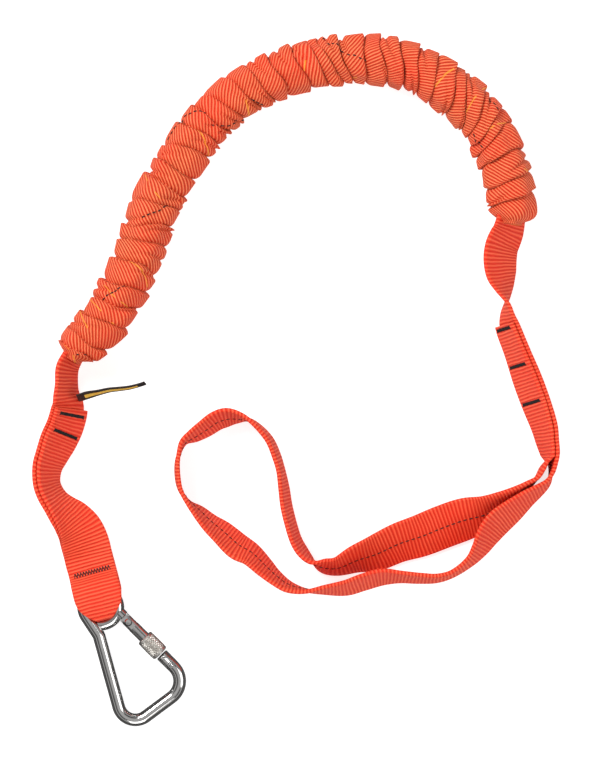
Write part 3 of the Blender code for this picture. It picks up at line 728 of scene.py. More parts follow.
def make_stitching():
    recipe = Recipe("stitching", "Step", "Length", "Thread Radius")
    given = recipe.given
    bead = recipe.node("GeometryNodeMeshIcoSphere", None, {"Radius": 1.0, "Subdivisions": 2})
    half_length = recipe.node("ShaderNodeMath", {"operation": "MULTIPLY"},
                              {0: given["Length"], 1: 0.5})
    size = recipe.node("ShaderNodeCombineXYZ", None,
                       {0: half_length, 1: given["Thread Radius"], 2: given["Thread Radius"]})
    shaped = recipe.node("GeometryNodeTransform", None, {"Geometry": bead, "Scale": size})
    lengthways = recipe.align("X", recipe.node("GeometryNodeInputTangent"))
    pressed = recipe.align("Z", recipe.named("outward"), pivot="X", start=lengthways)
    return recipe.set_out(recipe.steps(), shaped, pressed)


STITCHING = make_stitching()
print("stitching tree has", len(STITCHING.nodes), "nodes")


# %% Sew along a guide
def run_recipe(name, guide, tree, values, material):
    """Puts a tree on a guide mesh and returns the plain mesh piece it makes."""
    holder = bpy.data.objects.new(name + "_guide", guide)
    bpy.context.scene.collection.objects.link(holder)
    modifier = holder.modifiers.new("recipe", "NODES")
    modifier.node_group = tree
    sockets = {item.name: item.identifier for item in tree.interface.items_tree
               if item.in_out == "INPUT"}
    for label, value in dict(values, Material=material).items():
        modifier[sockets[label]] = value
    graph = bpy.context.evaluated_depsgraph_get()
    graph.update()
    mesh = bpy.data.meshes.new_from_object(holder.evaluated_get(graph))
    mesh.name = name
    bpy.data.objects.remove(holder, do_unlink=True)
    return add_piece(name, mesh, material)


def add_directions(mesh, **directions):
    """Stores directions on a guide's points, each under its own name."""
    for label, vectors in directions.items():
        layer = mesh.attributes.new(label, "FLOAT_VECTOR", "POINT")
        layer.data.foreach_set("vector", np.array(vectors, dtype=np.float32).ravel())


def sew(name, lines, values):
    """Sews along lines, each a list of (point, outward)."""
    pairs = [pair for line in lines for pair in line]
    edges, first = [], 0
    for line in lines:
        edges += [(first + n, first + n + 1) for n in range(len(line) - 1)]
        first += len(line)
    guide = bpy.data.meshes.new(name)
    guide.from_pydata([point for point, _ in pairs], edges, [])
    add_directions(guide, outward=[outward for _, outward in pairs])
    return run_recipe(name, guide, STITCHING, values, THREAD)


RUNNING = {"Step": 3.3 * MM, "Length": 2.3 * MM, "Thread Radius": 0.34 * MM}
INNER_FACE = -1
STITCH_SINK = 0.1 * MM


def face_line(sections, side):
    """A line down the middle of one face of a tape."""
    out = TAPE_THICK / 2 - STITCH_SINK
    return [(one.at(0, side * out), one.face * side) for one in sections]


print("sewing ready")

# %% [markdown]
# The running stitch is on the inner face of the loop. It is hidden where the tape is sewn
# double, so it starts where the two legs part.

# %% Running stitch of the loop
legs = outer_run[tail_last + 6:]
running = sew("loop_running_stitch", [face_line(legs, INNER_FACE)], RUNNING)
print("running stitch:", len(running.data.polygons), "faces")


# %% Bar tacks
TACK_THREAD = {"Step": 0.5 * MM, "Length": 0.95 * MM, "Thread Radius": 0.24 * MM}
TACK_LIFT = 0.12 * MM
BAR = {"zigs": 56, "reach": 0.75 * MM}
WIDE = {"zigs": 26, "reach": 1.3 * MM, "length": 20 * MM}


def tack_line(section, side, zigs, reach, length=19.5 * MM):
    """The thread of a tack: it zigzags right across one face of a tape."""
    line = []
    for number in range(zigs + 1):
        part = number / zigs - 0.5
        point = section.at(part * length, side * (TAPE_THICK / 2 + TACK_LIFT))
        swing = reach if number % 2 else -reach
        line.append((point + section.run * swing, section.face * side))
    return line


def bar_tacks(layer, side, places):
    return [sew(name, [tack_line(layer[nearest(layer, place)], side, **BAR)], TACK_THREAD)
            for name, place in places.items()]


hook_tacks = bar_tacks(upper_layer, -1, {"upper_tack": (-0.1186, -0.0197),
                                         "lower_tack": (-0.1221, -0.0292)})
zigzag = sew("zigzag_tack", [tack_line(eye_sections[-4], -1, **WIDE)], TACK_THREAD)
loop_tacks = bar_tacks(tail_layer, 1, {"loop_bar_upper": (0.1131, 0.0279),
                                       "loop_bar_middle": (0.1192, 0.0078),
                                       "loop_bar_lower": (0.1255, -0.0127)})
print(len(hook_tacks) + len(loop_tacks), "bar tacks and a zigzag")

# %% [markdown]
# ## The gathered cover
#
# Relaxed, the elastic core is much shorter than the tape around it, so the tape bunches
# into fat, uneven folds that lean one way or the other and tuck under each other. Each
# crease below is given by where it meets the outer and the inner side of the curve, in
# millimetres from the hook end. Between two creases the surface bulges and its late side
# hangs over the next crease, which gives the deep dark lines.

# %% Where the folds are
BUNGEE_ROUTE = [
    (-0.1206, 0.0100), (-0.1160, 0.0175), (-0.1102, 0.0235), (-0.1010, 0.0335),
    (-0.0945, 0.0448), (-0.0880, 0.0567), (-0.0826, 0.0697), (-0.0788, 0.0835),
    (-0.0740, 0.0955), (-0.0680, 0.1058), (-0.0626, 0.1161), (-0.0567, 0.1253),
    (-0.0497, 0.1345), (-0.0389, 0.1458), (-0.0275, 0.1544), (-0.0115, 0.1622),
    (0.0043, 0.1683), (0.0173, 0.1708), (0.0320, 0.1718), (0.0459, 0.1716),
    (0.0556, 0.1701), (0.0653, 0.1665), (0.0740, 0.1622), (0.0815, 0.1571),
    (0.0886, 0.1515), (0.0956, 0.1450), (0.1015, 0.1377), (0.1064, 0.1291),
    (0.1105, 0.1193), (0.1134, 0.1102), (0.1152, 0.1010), (0.1164, 0.0923),
    (0.1158, 0.0845)]
CREASES = [                        # outer side and inner side, in mm
    (6, 7), (13, 17), (24, 32), (37, 42), (48, 53), (62, 62), (74, 76), (82, 89),
    (94, 99), (110, 108), (120, 118), (126, 134), (140, 144), (151, 154), (156, 165),
    (171, 179), (182, 188), (193, 196), (206, 211), (214, 222), (219, 231), (229, 236),
    (242, 243), (250, 257), (258, 268), (268, 277), (278, 287), (287, 299), (293, 313),
    (306, 320), (316, 326), (324, 334), (338, 341), (349, 354), (359, 364)]
COVER_HALF = 13.6 * MM
CREASE_DEPTH = 3.4 * MM
NARROWEST_FOLD, NICKED_FOLD, FULL_FOLD = 3.2 * MM, 7.5 * MM, 8 * MM
LIP_SHARE, CLIMB_SHARE = 0.26, 0.34       # parts of a fold that roll down and roll up
OVERHANG = 1.3 * MM
NICK_WIDTH, NICK_DEPTH, NICK_SLANT = 0.8 * MM, 2.0 * MM, 2.5 * MM
HOOK_CLOSE, LOOP_CLOSE = 9 * MM, 7 * MM   # where the ends start to draw in
RING_STEP = 0.6 * MM
BUNGEE_HEIGHT = 14 * MM
RIB_LEANS = [                      # up to a run, how far a rib falls back across the tube, mm
    (190, 20), (200, 13), (210, 6), (240, 18), (260, 41), (280, 51), (300, 20), (330, 28),
    (400, 22)]
COVER_SIDES = 104


# %% Shape the folds
def cover_grid():
    rows = smooth_rows(BUNGEE_ROUTE, RING_STEP)
    runs = np.gradient(rows, axis=0)
    runs /= np.linalg.norm(runs, axis=1)[:, None]
    length = RING_STEP * (len(rows) - 1)
    at = np.linspace(0, length, len(rows))
    return rows, runs, length, at


def cover_surface(length, at):
    """Points of the folded cover: run by turn, where turn 0 is on top."""
    turn = np.linspace(-np.pi, np.pi, COVER_SIDES, endpoint=False)
    dice = random.Random(11)
    creases = [(-7, -6)] + CREASES + [(length * 1000 + 6, length * 1000 + 7)]
    mids = np.array([(a + b) / 2 for a, b in creases]) * MM
    tilts = np.array([(b - a) / 2 for a, b in creases]) * MM
    ripples = [(dice.uniform(0, 6.3), dice.uniform(0.3, 0.9) * MM) for _ in creases]
    side = np.sin(turn)
    lines = np.array([mid + tilt * side + size * np.sin(3 * turn + phase)
                      for mid, tilt, (phase, size) in zip(mids, tilts, ripples)])
    bows = np.array([dice.uniform(-1.8, 1.8) for _ in creases]) * MM
    lines = lines + bows[:, None] * np.cos(turn)[None, :]
    for number in range(1, len(lines)):
        lines[number] = np.maximum(lines[number], lines[number - 1] + NARROWEST_FOLD)
    depth = np.array([dice.uniform(0.8, 1.3) for _ in creases])
    hang = np.array([dice.uniform(0.8, 1.7) for _ in creases])
    rise = np.array([dice.uniform(0.25, 0.75) for _ in creases])
    facet = np.array([dice.uniform(0, 6.3) for _ in creases])
    nick = np.array([dice.uniform(0.3, 0.7) for _ in creases])
    nick_side = np.array([dice.choice((-1, 1)) for _ in creases])
    rib_shift = np.array([dice.uniform(-6, 8) for _ in creases]) * MM
    leans = np.array([next(lean for reach, lean in RIB_LEANS if mid <= reach * MM)
                      for mid in mids]) * MM
    seam_turn = np.array([dice.choice((-0.8, 0.4, 3.0, 3.0, 3.0)) for _ in creases])
    seam_skew = np.array([dice.uniform(1.8, 3.2) for _ in creases])
    s, t = np.meshgrid(at, turn, indexing="ij")
    fold = np.zeros(s.shape, dtype=int)
    for number in range(1, len(creases) - 1):
        fold += s > lines[number][None, :]
    columns = np.arange(len(turn))[None, :].repeat(len(at), 0)
    low, high = lines[fold, columns], lines[fold + 1, columns]
    part = np.clip((s - low) / (high - low), 0, 1)
    width = high - low
    # a fold rolls up out of one crease and tucks more steeply under the next one
    lip = np.clip((1 - part) / LIP_SHARE, 0, 1)
    climb = np.clip(part / CLIMB_SHARE, 0, 1)
    bulge = np.minimum(np.sqrt(1 - (1 - lip) ** 2), np.sqrt(1 - (1 - climb) ** 2)
                       * (1 - rise[fold] * 0.6 * (1 - part)))
    swell = np.clip(width / FULL_FOLD, 0.55, 1.1)
    out = COVER_HALF - CREASE_DEPTH * (1 - bulge * swell) * depth[fold]
    lean = hang[fold] * OVERHANG * swell * (part ** 3) * (1 - part) * 6
    uneven = 0.7 * MM * np.cos(4 * t + facet[fold]) + 0.35 * MM * np.sin(7 * t - fold * 1.3)
    # a shorter crease runs in from one side and dies out on top of the fold
    off_nick = s - low - nick[fold] * width - NICK_SLANT * np.sin(t)
    groove = np.exp(-(off_nick / NICK_WIDTH) ** 2)
    reach = np.clip(np.sin(t) * nick_side[fold] + 0.35, 0, 1) * (width > NICKED_FOLD)
    out = out + uneven * bulge - NICK_DEPTH * groove * reach
    slope = np.cos(np.arctan(leans / (2 * COVER_HALF)))[fold]
    ribs = (s + leans[fold] * (t / 2) + rib_shift[fold]) * slope
    around = (t + seam_turn[fold]) * COVER_HALF + (s - (low + high) / 2) * seam_skew[fold]
    return t, out, s + lean, ribs, around, leans[fold] * slope * np.pi


def place_on_bungee(rows, runs, at, run, turn, out, squeeze):
    """Points at a run along the bungee, a turn round it and a distance out."""
    x, y, tx, ty = (np.interp(run, at, column)
                    for column in (rows[:, 0], rows[:, 1], runs[:, 0], runs[:, 1]))
    over = np.maximum(run - at[-1], 0) + np.minimum(run, 0)
    sideways = out * np.sin(turn) * squeeze
    up = BUNGEE_HEIGHT + out * np.cos(turn)
    return np.stack([x + tx * over + ty * sideways + MIDDLE.x,
                     y + ty * over - tx * sideways + MIDDLE.y, up], axis=-1)


def closing_in(s, length):
    """How the ends draw in round the tape: width left, from 1 down to about a half."""
    first = np.clip(s / HOOK_CLOSE, 0, 1)
    last = np.clip((length - s) / LOOP_CLOSE, 0, 1)
    return np.sqrt(np.clip(1 - (1 - first) ** 2, 0.3, 1)) * np.sqrt(
        np.clip(1 - (1 - last) ** 2, 0.34, 1))


def fold_cover():
    rows, runs, length, at = cover_grid()
    t, out, run, ribs, around, rib_jump = cover_surface(length, at)
    drawn = closing_in(at[:, None], length)
    points = place_on_bungee(rows, runs, at, run, t, out * (0.35 + 0.65 * drawn), drawn)
    return points, ribs, around, length, rib_jump[:, 0]


def cover_mesh(points, ribs, around, rib_jump):
    rings, sides = points.shape[:2]
    verts = np.vstack([points.reshape(-1, 3), points[0].mean(axis=0), points[-1].mean(axis=0)])
    faces, uvs = [], []
    wrap = 2 * np.pi * COVER_HALF
    for ring in range(rings - 1):
        for one in range(sides):
            two = (one + 1) % sides
            faces.append((ring * sides + one, (ring + 1) * sides + one,
                          (ring + 1) * sides + two, ring * sides + two))
            far = wrap if two == 0 else 0
            here, after = (rib_jump[ring], rib_jump[ring + 1]) if two == 0 else (0, 0)
            uvs += [(ribs[ring, one], around[ring, one]),
                    (ribs[ring + 1, one], around[ring + 1, one]),
                    (ribs[ring + 1, two] + after, around[ring + 1, two] + far),
                    (ribs[ring, two] + here, around[ring, two] + far)]
    for centre, ring, order in ((len(verts) - 2, 0, 1), (len(verts) - 1, rings - 1, -1)):
        for one in range(sides):
            two = (one + 1) % sides
            corner = (ring * sides + one, ring * sides + two)[::order]
            faces.append((centre, *corner))
            uvs += [(ribs[ring, one], 0), (ribs[ring, one], 0.004), (ribs[ring, one], 0.002)]
    return cloth_mesh("gathered_cover", [tuple(v) for v in verts], faces, uvs)


folded, ribs, around, bungee_length, rib_jump = fold_cover()
cover_data = cover_mesh(folded, ribs, around, rib_jump)
cover = add_piece("gathered_cover", cover_data, GATHERED_WEBBING)
print("cover:", len(cover_data.polygons), "faces over", round(bungee_length * 1000), "mm")

# %% [markdown]
# The tape's running stitch comes up here and there between the folds, as short dashed
# lines that dive into a crease and are gone. They are sewn on guides that are read from
# the folded surface itself.

# %% Stitches that show between the folds
SHOWING = [                        # run and distance off the middle, in mm
    [(88, -3), (93, 3), (99, 8)], [(39, -7), (44, -3), (49, 0)],
    [(130, -12), (136, -12), (143, -11), (152, -5)], [(149, 4), (156, 10), (163, 12)],
    [(175, 6), (180, 11)], [(222, -12), (227, -8), (232, -3), (242, 2)],
    [(4, 3), (7, 6)], [(310, -11), (315, -9)], [(321, 9), (325, 10), (329, 9)]]


SHOWING_STEPS = 24


def showing_line(line):
    offs = np.array(line, dtype=float) * MM
    spots = np.linspace(0, len(line) - 1, SHOWING_STEPS)
    along, sideways = (np.interp(spots, range(len(line)), column) for column in offs.T)
    rings, sides = folded.shape[:2]
    drawn = []
    for run, off in zip(along, sideways):
        turn = math.asin(max(-0.98, min(0.98, off / COVER_HALF)))
        ring = min(rings - 2, max(1, round(run / bungee_length * (rings - 1))))
        column = round((turn + math.pi) / (2 * math.pi) * sides) % sides
        here = Vector(folded[ring, column])
        ahead = Vector(folded[ring + 1, column]) - Vector(folded[ring - 1, column])
        round_it = Vector(folded[ring, (column + 1) % sides]) - Vector(folded[ring, column - 1])
        out = ahead.cross(round_it).normalized()
        out = out if out.z > 0 else -out
        drawn.append((here + out * TACK_LIFT, out))
    return drawn


cover_stitches = sew("cover_stitches", [showing_line(line) for line in SHOWING], RUNNING)
print("stitches showing on the cover:", len(cover_stitches.data.polygons) // 80)

# %% [markdown]
# ## The label
#
# A narrow cloth label is caught in the seam by the hook. It stands on its edge and curls
# away from the tape. Its panel is left blank.

# %% Label
LABEL_ROUTE = [
    (-0.1168, -0.0096, -102), (-0.1148, -0.0092, -104), (-0.1110, -0.0080, -104),
    (-0.1058, -0.0068, -100), (-0.0999, -0.0054, -98), (-0.0945, -0.0048, -97),
    (-0.0891, -0.0041, -96), (-0.0837, -0.0027, -95), (-0.0805, -0.0016, -95)]
LABEL_WIDTH, LABEL_THICK = 15 * MM, 0.8 * MM
label_sections = lay_tape(LABEL_ROUTE, LABEL_WIDTH, LABEL_THICK, heights=(12 * MM, 8 * MM),
                          step=0.8 * MM)
label, _ = weave_tape("label", label_sections, LABEL_CLOTH, LABEL_THICK)
print("label: blank")

# %% [markdown]
# ## The hook
#
# The hook is one length of round wire, bent through a basket and back round the tape's
# eye. A tube with real arcs at the bends gives the highlights their smooth run. The
# shoulder and the tongue that carry the gate are pieces of their own.

# %% Hook sizes
WIRE_RADIUS = 3.45 * MM
EYE_RADIUS = 9.2 * MM
BIG_BEND, LOW_BEND, KINK_BEND = 11.0 * MM, 9.3 * MM, 7.0 * MM
HOOK_TILT = math.radians(2.6)
NOSE_START = 25.2 * MM
HOOK_REST = Vector((-0.0878, -0.1833, WIRE_RADIUS))
RIVET = Vector((-0.0896, -0.1301, 0))
GATE_LINE = Vector((1, -1, 0)).normalized()
BIG_CORNER = Vector((-0.0564, -0.1634, 0))
LOW_CORNER = Vector((-0.0914, -0.1895, 0))
KINK_CORNER = Vector((-0.1056, -0.1375, 0))
EYE_CENTRE = Vector((-0.1046, -0.1223, 0))
EYE_JOIN = Vector((-0.1123, -0.1274, 0))
EYE_TUCK, TUCK_FROM = 2.0 * MM, 0.7      # the end dips under, over the last of the turn
EYE_TURN, EYE_STEPS = math.radians(318), 60

HOOK_PLANE = (Matrix.Translation(HOOK_REST + MIDDLE) @ Matrix.Rotation(HOOK_TILT, 4, "X")
              @ Matrix.Translation((-HOOK_REST.x, -HOOK_REST.y, 0)))
GATE_PLANE = (HOOK_PLANE @ Matrix.Translation(RIVET)
              @ Matrix.Rotation(math.atan2(GATE_LINE.y, GATE_LINE.x), 4, "Z"))


# %% Bend the wire
def rounded(corners, radii, steps):
    line = [corners[0]]
    for before, corner, after, radius in zip(corners, corners[1:], corners[2:], radii):
        one, two = (before - corner).normalized(), (after - corner).normalized()
        half_angle = one.angle(two) / 2
        centre = corner + (one + two).normalized() * (radius / math.sin(half_angle))
        start = corner + one * (radius / math.tan(half_angle)) - centre
        end = corner + two * (radius / math.tan(half_angle)) - centre
        axis, angle = start.cross(end), start.angle(end)
        for number in range(steps + 1):
            line.append(centre + Quaternion(axis, angle * number / steps) @ start)
    line.append(corners[-1])
    return line


def eye_arc():
    start = EYE_JOIN - EYE_CENTRE
    begin = math.atan2(start.y, start.x)
    arc = []
    for number in range(EYE_STEPS + 1):
        part = number / EYE_STEPS
        angle = begin - EYE_TURN * part
        dip = EYE_TUCK * max(0, (part - TUCK_FROM) / (1 - TUCK_FROM))
        arc.append(EYE_CENTRE + Vector((EYE_RADIUS * math.cos(angle),
                                        EYE_RADIUS * math.sin(angle), -dip)))
    return arc


def bent_tube(name, points, radius, material, place, resolution=8):
    """A round tube along points, with its place in its mesh."""
    data = bpy.data.curves.new(name, "CURVE")
    data.dimensions = "3D"
    data.bevel_depth = radius
    data.bevel_resolution = resolution
    data.use_fill_caps = True
    spline = data.splines.new("POLY")
    spline.points.add(len(points) - 1)
    for point, spot in zip(spline.points, points):
        point.co = (*spot, 1)
    holder = bpy.data.objects.new(name + "_line", data)
    bpy.context.scene.collection.objects.link(holder)
    graph = bpy.context.evaluated_depsgraph_get()
    graph.update()
    mesh = bpy.data.meshes.new_from_object(holder.evaluated_get(graph))
    bpy.data.objects.remove(holder, do_unlink=True)
    build = bmesh.new()
    build.from_mesh(mesh)
    bmesh.ops.remove_doubles(build, verts=build.verts, dist=1e-6)
    bmesh.ops.recalc_face_normals(build, faces=build.faces)
    build.to_mesh(mesh)
    build.free()
    mesh.transform(place)
    mesh.shade_smooth()
    return add_piece(name, mesh, material)


wire_line = rounded([RIVET + GATE_LINE * NOSE_START, BIG_CORNER, LOW_CORNER, KINK_CORNER,
                     EYE_JOIN], [BIG_BEND, LOW_BEND, KINK_BEND], 20)
hook_wire = bent_tube("hook_wire", wire_line[:-1] + eye_arc(), WIRE_RADIUS, POLISHED, HOOK_PLANE)
print("hook wire:", len(hook_wire.data.polygons), "faces")


# %% Pieces on the gate's line
TURNED_SIDES = 48
SHARP_ANGLE = math.radians(35)


def machined(name, build, material):
    """Ends a metal piece: faces out, in its place on the gate's line, edges kept crisp."""
    bmesh.ops.recalc_face_normals(build, faces=build.faces)
    mesh = bpy.data.meshes.new(name)
    build.to_mesh(mesh)
    build.free()
    mesh.transform(GATE_PLANE)
    mesh.shade_smooth()
    mesh.set_sharp_from_angle(angle=SHARP_ANGLE)
    return add_piece(name, mesh, material)


def turn_piece(name, profile, material):
    """A closed ring turned from (run, radius) pairs about the gate's line."""
    build = bmesh.new()
    rings = []
    for run, radius in profile:
        rings.append([build.verts.new((run, radius * math.cos(2 * math.pi * n / TURNED_SIDES),
                                       radius * math.sin(2 * math.pi * n / TURNED_SIDES)))
                      for n in range(TURNED_SIDES)])
    for ring, after in zip(rings, rings[1:] + rings[:1]):
        for one in range(TURNED_SIDES):
            two = (one + 1) % TURNED_SIDES
            build.faces.new((ring[one], after[one], after[two], ring[two]))
    bmesh.ops.remove_doubles(build, verts=build.verts, dist=1e-7)
    return machined(name, build, material)


# %% Shoulder and tongue
LUG_START, LUG_END, LUG_RADIUS, LUG_EDGE = -8.2 * MM, -3.7 * MM, 3.2 * MM, 0.5 * MM
TONGUE_BACK, TONGUE_SIDE, TONGUE_RADIUS = -4.7 * MM, 2.8 * MM, 3.1 * MM
TONGUE_END, TONGUE_BORE, TONGUE_HALF = 2.5 * MM, 1.4 * MM, 1.2 * MM
TINY = 1e-7                        # a radius that closes a turned piece to a point


def hinge_lug():
    """The eye's shoulder, which carries the tongue that the gate turns on."""
    return turn_piece("hinge_lug", [
        (LUG_START, TINY), (LUG_START, LUG_RADIUS), (LUG_END - LUG_EDGE, LUG_RADIUS),
        (LUG_END, LUG_RADIUS - LUG_EDGE), (LUG_END, TINY)], POLISHED)


def hinge_tongue():
    """The flat tongue on the shoulder, rounded at its end and bored for the rivet."""
    turns = np.linspace(math.asin(TONGUE_SIDE / TONGUE_RADIUS),
                        math.acos(TONGUE_END / TONGUE_RADIUS), 7)
    upper = [(x, TONGUE_SIDE) for x in np.linspace(TONGUE_BACK, 1.0 * MM, 7)]
    upper += [(TONGUE_RADIUS * math.cos(a), TONGUE_RADIUS * math.sin(a)) for a in turns]
    rim = upper + [(TONGUE_END, 0)] + [(x, -y) for x, y in reversed(upper)] + [(TONGUE_BACK, 0)]
    hole = [(TONGUE_BORE * x / math.hypot(x, y), TONGUE_BORE * y / math.hypot(x, y))
            for x, y in rim]
    build = bmesh.new()
    low_rim, low_hole, high_rim, high_hole = (
        [build.verts.new((x, y, height)) for x, y in outline]
        for height in (-TONGUE_HALF, TONGUE_HALF) for outline in (rim, hole))
    for ring, other in ((low_rim, low_hole), (low_hole, high_hole), (high_hole, high_rim),
                        (high_rim, low_rim)):
        for one in range(len(rim)):
            two = (one + 1) % len(rim)
            build.faces.new((ring[one], ring[two], other[two], other[one]))
    return machined("hinge_tongue", build, POLISHED)


lug = hinge_lug()
tongue = hinge_tongue()

# %% [markdown]
# The nose carries a fine thread for the sleeve. Its crests are rings, set out by
# Geometry Nodes along a guide, because at this size a helix and rings look the same.


# %% Nose thread
THREAD_START, THREAD_END = 25.9 * MM, 33.4 * MM


def make_threading():
    recipe = Recipe("threading", "Step", "Ring Radius", "Crest")
    ring, crest = (recipe.node("GeometryNodeCurvePrimitiveCircle", None,
                               {"Resolution": sides, "Radius": recipe.given[radius]})
                   for sides, radius in ((40, "Ring Radius"), (6, "Crest")))
    solid = recipe.node("GeometryNodeCurveToMesh", None, {"Curve": ring, "Profile Curve": crest})
    facing = recipe.align("Z", recipe.node("GeometryNodeInputTangent"))
    return recipe.set_out(recipe.steps(), solid, facing)


thread_guide = bpy.data.meshes.new("nose_thread")
thread_guide.from_pydata([GATE_PLANE @ Vector((run, 0, 0)) for run in (THREAD_START, THREAD_END)],
                         [(0, 1)], [])
nose_thread = run_recipe("nose_thread", thread_guide, make_threading(),
                         {"Step": 0.9 * MM, "Ring Radius": 3.4 * MM, "Crest": 0.22 * MM},
                         POLISHED)
print("nose thread:", len(nose_thread.data.polygons), "faces")

# %% [markdown]
# ## The screw sleeve
#
# The sleeve is turned, then rolled with a diamond knurl for the fingers. The knurl is a
# few hundred small pyramids on the turned ring, in rows that are offset by half a step.


# %% Sleeve body
SLEEVE_START, SLEEVE_END = 12.0 * MM, 24.2 * MM
SLEEVE_RADIUS, SLEEVE_BORE = 4.72 * MM, 3.75 * MM
SLEEVE_BEVEL, GROOVE_DEPTH = 0.5 * MM, 0.2 * MM
GROOVE_FROM, GROOVE_TO = 1.6 * MM, 1.7 * MM          # in from each end
outer = [(SLEEVE_BEVEL, 0), (GROOVE_FROM, 0), (GROOVE_TO, GROOVE_DEPTH)]
sleeve = turn_piece("sleeve_body", [
    (SLEEVE_START, SLEEVE_BORE), (SLEEVE_END, SLEEVE_BORE),
    (SLEEVE_END, SLEEVE_RADIUS - SLEEVE_BEVEL),
    *((SLEEVE_END - inward, SLEEVE_RADIUS - down) for inward, down in outer),
    *((SLEEVE_START + inward, SLEEVE_RADIUS - down) for inward, down in reversed(outer)),
    (SLEEVE_START, SLEEVE_RADIUS - SLEEVE_BEVEL)], KNURLED)


# %% Diamond knurl
KNURL_ROWS, KNURL_AROUND = 11, 22
KNURL_INSET, KNURL_SINK = 2.1 * MM, 0.25 * MM


def make_knurling():
    recipe = Recipe("knurling", "Width", "Height")
    given = recipe.given
    diamond = recipe.node("GeometryNodeMeshCone", {"fill_type": "NGON"},
                          {"Vertices": 4, "Radius Bottom": 0.5, "Radius Top": 0.12, "Depth": 1.0})
    size = recipe.node("ShaderNodeCombineXYZ", None,
                       {0: given["Width"], 1: given["Width"], 2: given["Height"]})
    standing = recipe.align("Z", recipe.named("outward"))
    turned = recipe.align("X", recipe.named("lengthways"), pivot="Z", start=standing)
    points = recipe.node("GeometryNodeMeshToPoints", None, {"Mesh": given["Geometry"]})
    return recipe.set_out(points, diamond, turned, smooth=False, Scale=size)


def knurl_guide():
    spots, outward = [], []
    turn_only = GATE_PLANE.to_3x3()
    low, high = SLEEVE_START + KNURL_INSET, SLEEVE_END - KNURL_INSET
    for row in range(KNURL_ROWS):
        run = low + (high - low) * row / (KNURL_ROWS - 1)
        for number in range(KNURL_AROUND):
            angle = 2 * math.pi * (number + 0.5 * (row % 2)) / KNURL_AROUND
            out = Vector((0, math.cos(angle), math.sin(angle)))
            spots.append(GATE_PLANE @ (Vector((run, 0, 0)) + out * (SLEEVE_RADIUS - KNURL_SINK)))
            outward.append(turn_only @ out)
    mesh = bpy.data.meshes.new("knurl")
    mesh.from_pydata(spots, [], [])
    add_directions(mesh, outward=outward,
                   lengthways=[turn_only @ Vector((1, 0, 0))] * len(spots))
    return mesh


knurl = run_recipe("knurl", knurl_guide(), make_knurling(),
                   {"Width": 1.32 * MM, "Height": 0.42 * MM}, KNURLED)
print("knurl:", len(knurl.data.polygons), "faces")

# %% [markdown]
# Inside the gate a small spring keeps the plunger against the tongue. It gets shorter as
# the gate opens, so it is a coil of its own, with a mesh of its own.

# %% Gate spring
BORE_RADIUS = 1.75 * MM
COIL_START, COIL_END, COIL_WIRE = 9.3 * MM, 17.0 * MM, 0.22 * MM
COIL_GAP, COIL_TURNS, COIL_SIDES = 0.35 * MM, 6, 16


def gate_coil():
    first, radius = COIL_START + COIL_WIRE, BORE_RADIUS - COIL_GAP - COIL_WIRE
    steps = COIL_TURNS * COIL_SIDES
    line = []
    for number in range(steps + 1):
        angle = 2 * math.pi * number / COIL_SIDES
        line.append(Vector((first + (COIL_END - first) * number / steps,
                            radius * math.cos(angle), radius * math.sin(angle))))
    return bent_tube("gate_coil", line, COIL_WIRE, SPRING_STEEL, GATE_PLANE, 2)


coil = gate_coil()
print("coil:", len(coil.data.polygons), "faces")

# %% [markdown]
# ## The elastic inside
#
# Nothing shows of the elastic, but it has to stretch with its cover, so it is a tube of
# its own with enough rings to bend and lengthen smoothly.

# %% Elastic core
CORE_RADIUS = 4.5 * MM
core_rows = smooth_rows(BUNGEE_ROUTE, 4 * MM)[1:-1]
core_line = [Vector((x, y, BUNGEE_HEIGHT)) for x, y in core_rows]
core = bent_tube("elastic_strand", core_line, CORE_RADIUS, ELASTIC,
                 Matrix.Translation(MIDDLE), 4)
print("core:", len(core.data.polygons), "faces")


# %% Thread wound round its two ends
WINDING = {"Step": 1.1 * MM, "Length": 1.4 * MM, "Thread Radius": 0.32 * MM}
WINDING_TURNS, WINDING_SIDES, WINDING_SPREAD = 5, 24, 4 * MM
WINDING_LIFT = 0.2 * MM


def wind_thread(name, first, second):
    """Black thread wound round the core, from one point of it towards another."""
    run = (second - first).normalized()
    up = Vector((0, 0, 1))
    left = up.cross(run)
    steps = WINDING_TURNS * WINDING_SIDES
    line = []
    for number in range(steps + 1):
        angle = 2 * math.pi * number / WINDING_SIDES
        out = up * math.cos(angle) + left * math.sin(angle)
        along = first + MIDDLE + run * (WINDING_SPREAD * number / steps)
        line.append((along + out * (CORE_RADIUS + WINDING_LIFT), out))
    return sew(name, [line], WINDING)


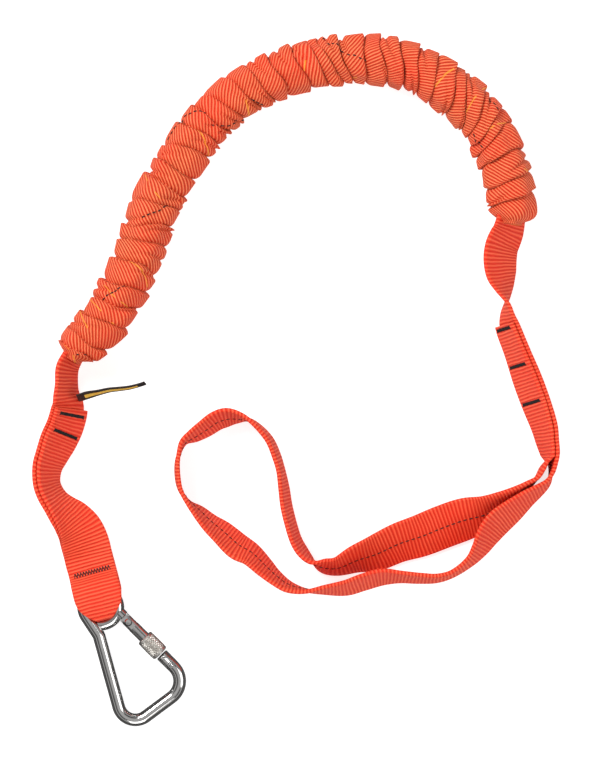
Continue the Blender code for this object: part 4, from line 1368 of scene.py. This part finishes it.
hook_winding = wind_thread("hook_end_winding", core_line[0], core_line[1])
loop_winding = wind_thread("loop_end_winding", core_line[-1], core_line[-2])
print("two windings")

# %% [markdown]
# ## Hand the pieces to the frame
#
# The solids that are right as they are, such as the gate and its rivet, stay and only
# get their finishes. The others step aside for the pieces above.

# %% Finishes for the solids that stay
STAYING = {"gate_lever": POLISHED, "gate_rivet": POLISHED, "gate_plunger": SPRING_STEEL}
for node, material in STAYING.items():
    solid = bpy.data.objects[node]
    for slot in solid.material_slots:
        slot.material = material
print(len(STAYING), "solids stay")

# %% Bodies
for piece in (hook_wire, lug, tongue, nose_thread, zigzag):
    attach(piece, "hook")
for piece in (sleeve, knurl):
    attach(piece, "sleeve")
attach(coil, "gate")
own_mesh(coil)
for piece in (loop_tape, running, loop_winding, *loop_tacks):
    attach(piece, "loop_end")
for piece in (label, hook_winding, *hook_tacks):
    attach(piece, "hook_end")

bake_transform(hook_tape)
stretch_line = Vector((0.2364, 0.0745, 0)).normalized()
hook_side = Vector((-0.1170, 0.0150, 0.014))
loop_side = Vector((0.1130, 0.0900, 0.014))
loop_side = hook_side + stretch_line * (loop_side - hook_side).dot(stretch_line)
for piece in (cover, cover_stitches, core):
    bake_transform(piece)

# %% What each piece stands for
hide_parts("hook_strap_base", "hook_strap_tail", "webbing_eye")
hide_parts("hook_tack_upper")
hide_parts("hook_tack_lower")
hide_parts("hook_zigzag_tack")
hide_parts("label_tag")
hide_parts("bungee_cover")
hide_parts("elastic_core")
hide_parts("core_tack_hook")
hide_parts("core_tack_loop")
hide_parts("loop_neck_strap", "choke_loop")
for tack, node in zip(loop_tacks, ("loop_tack_upper", "loop_tack_middle", "loop_tack_lower")):
    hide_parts(node)
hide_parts("gate_spring")
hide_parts("hook_frame")
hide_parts("screw_sleeve")

# %% [markdown]
# ## The bungee's line
#
# The bungee and the loop are cords of a fixed length. The tape at the hook is doubled on
# itself, and so is the label. The bungee's line is read off every eighth row of its route.

# %% The bungee's line
cover_line = [Vector((x, y, BUNGEE_HEIGHT)) + MIDDLE for x, y in cover_grid()[0][::8]]
2 * COVER_HALF
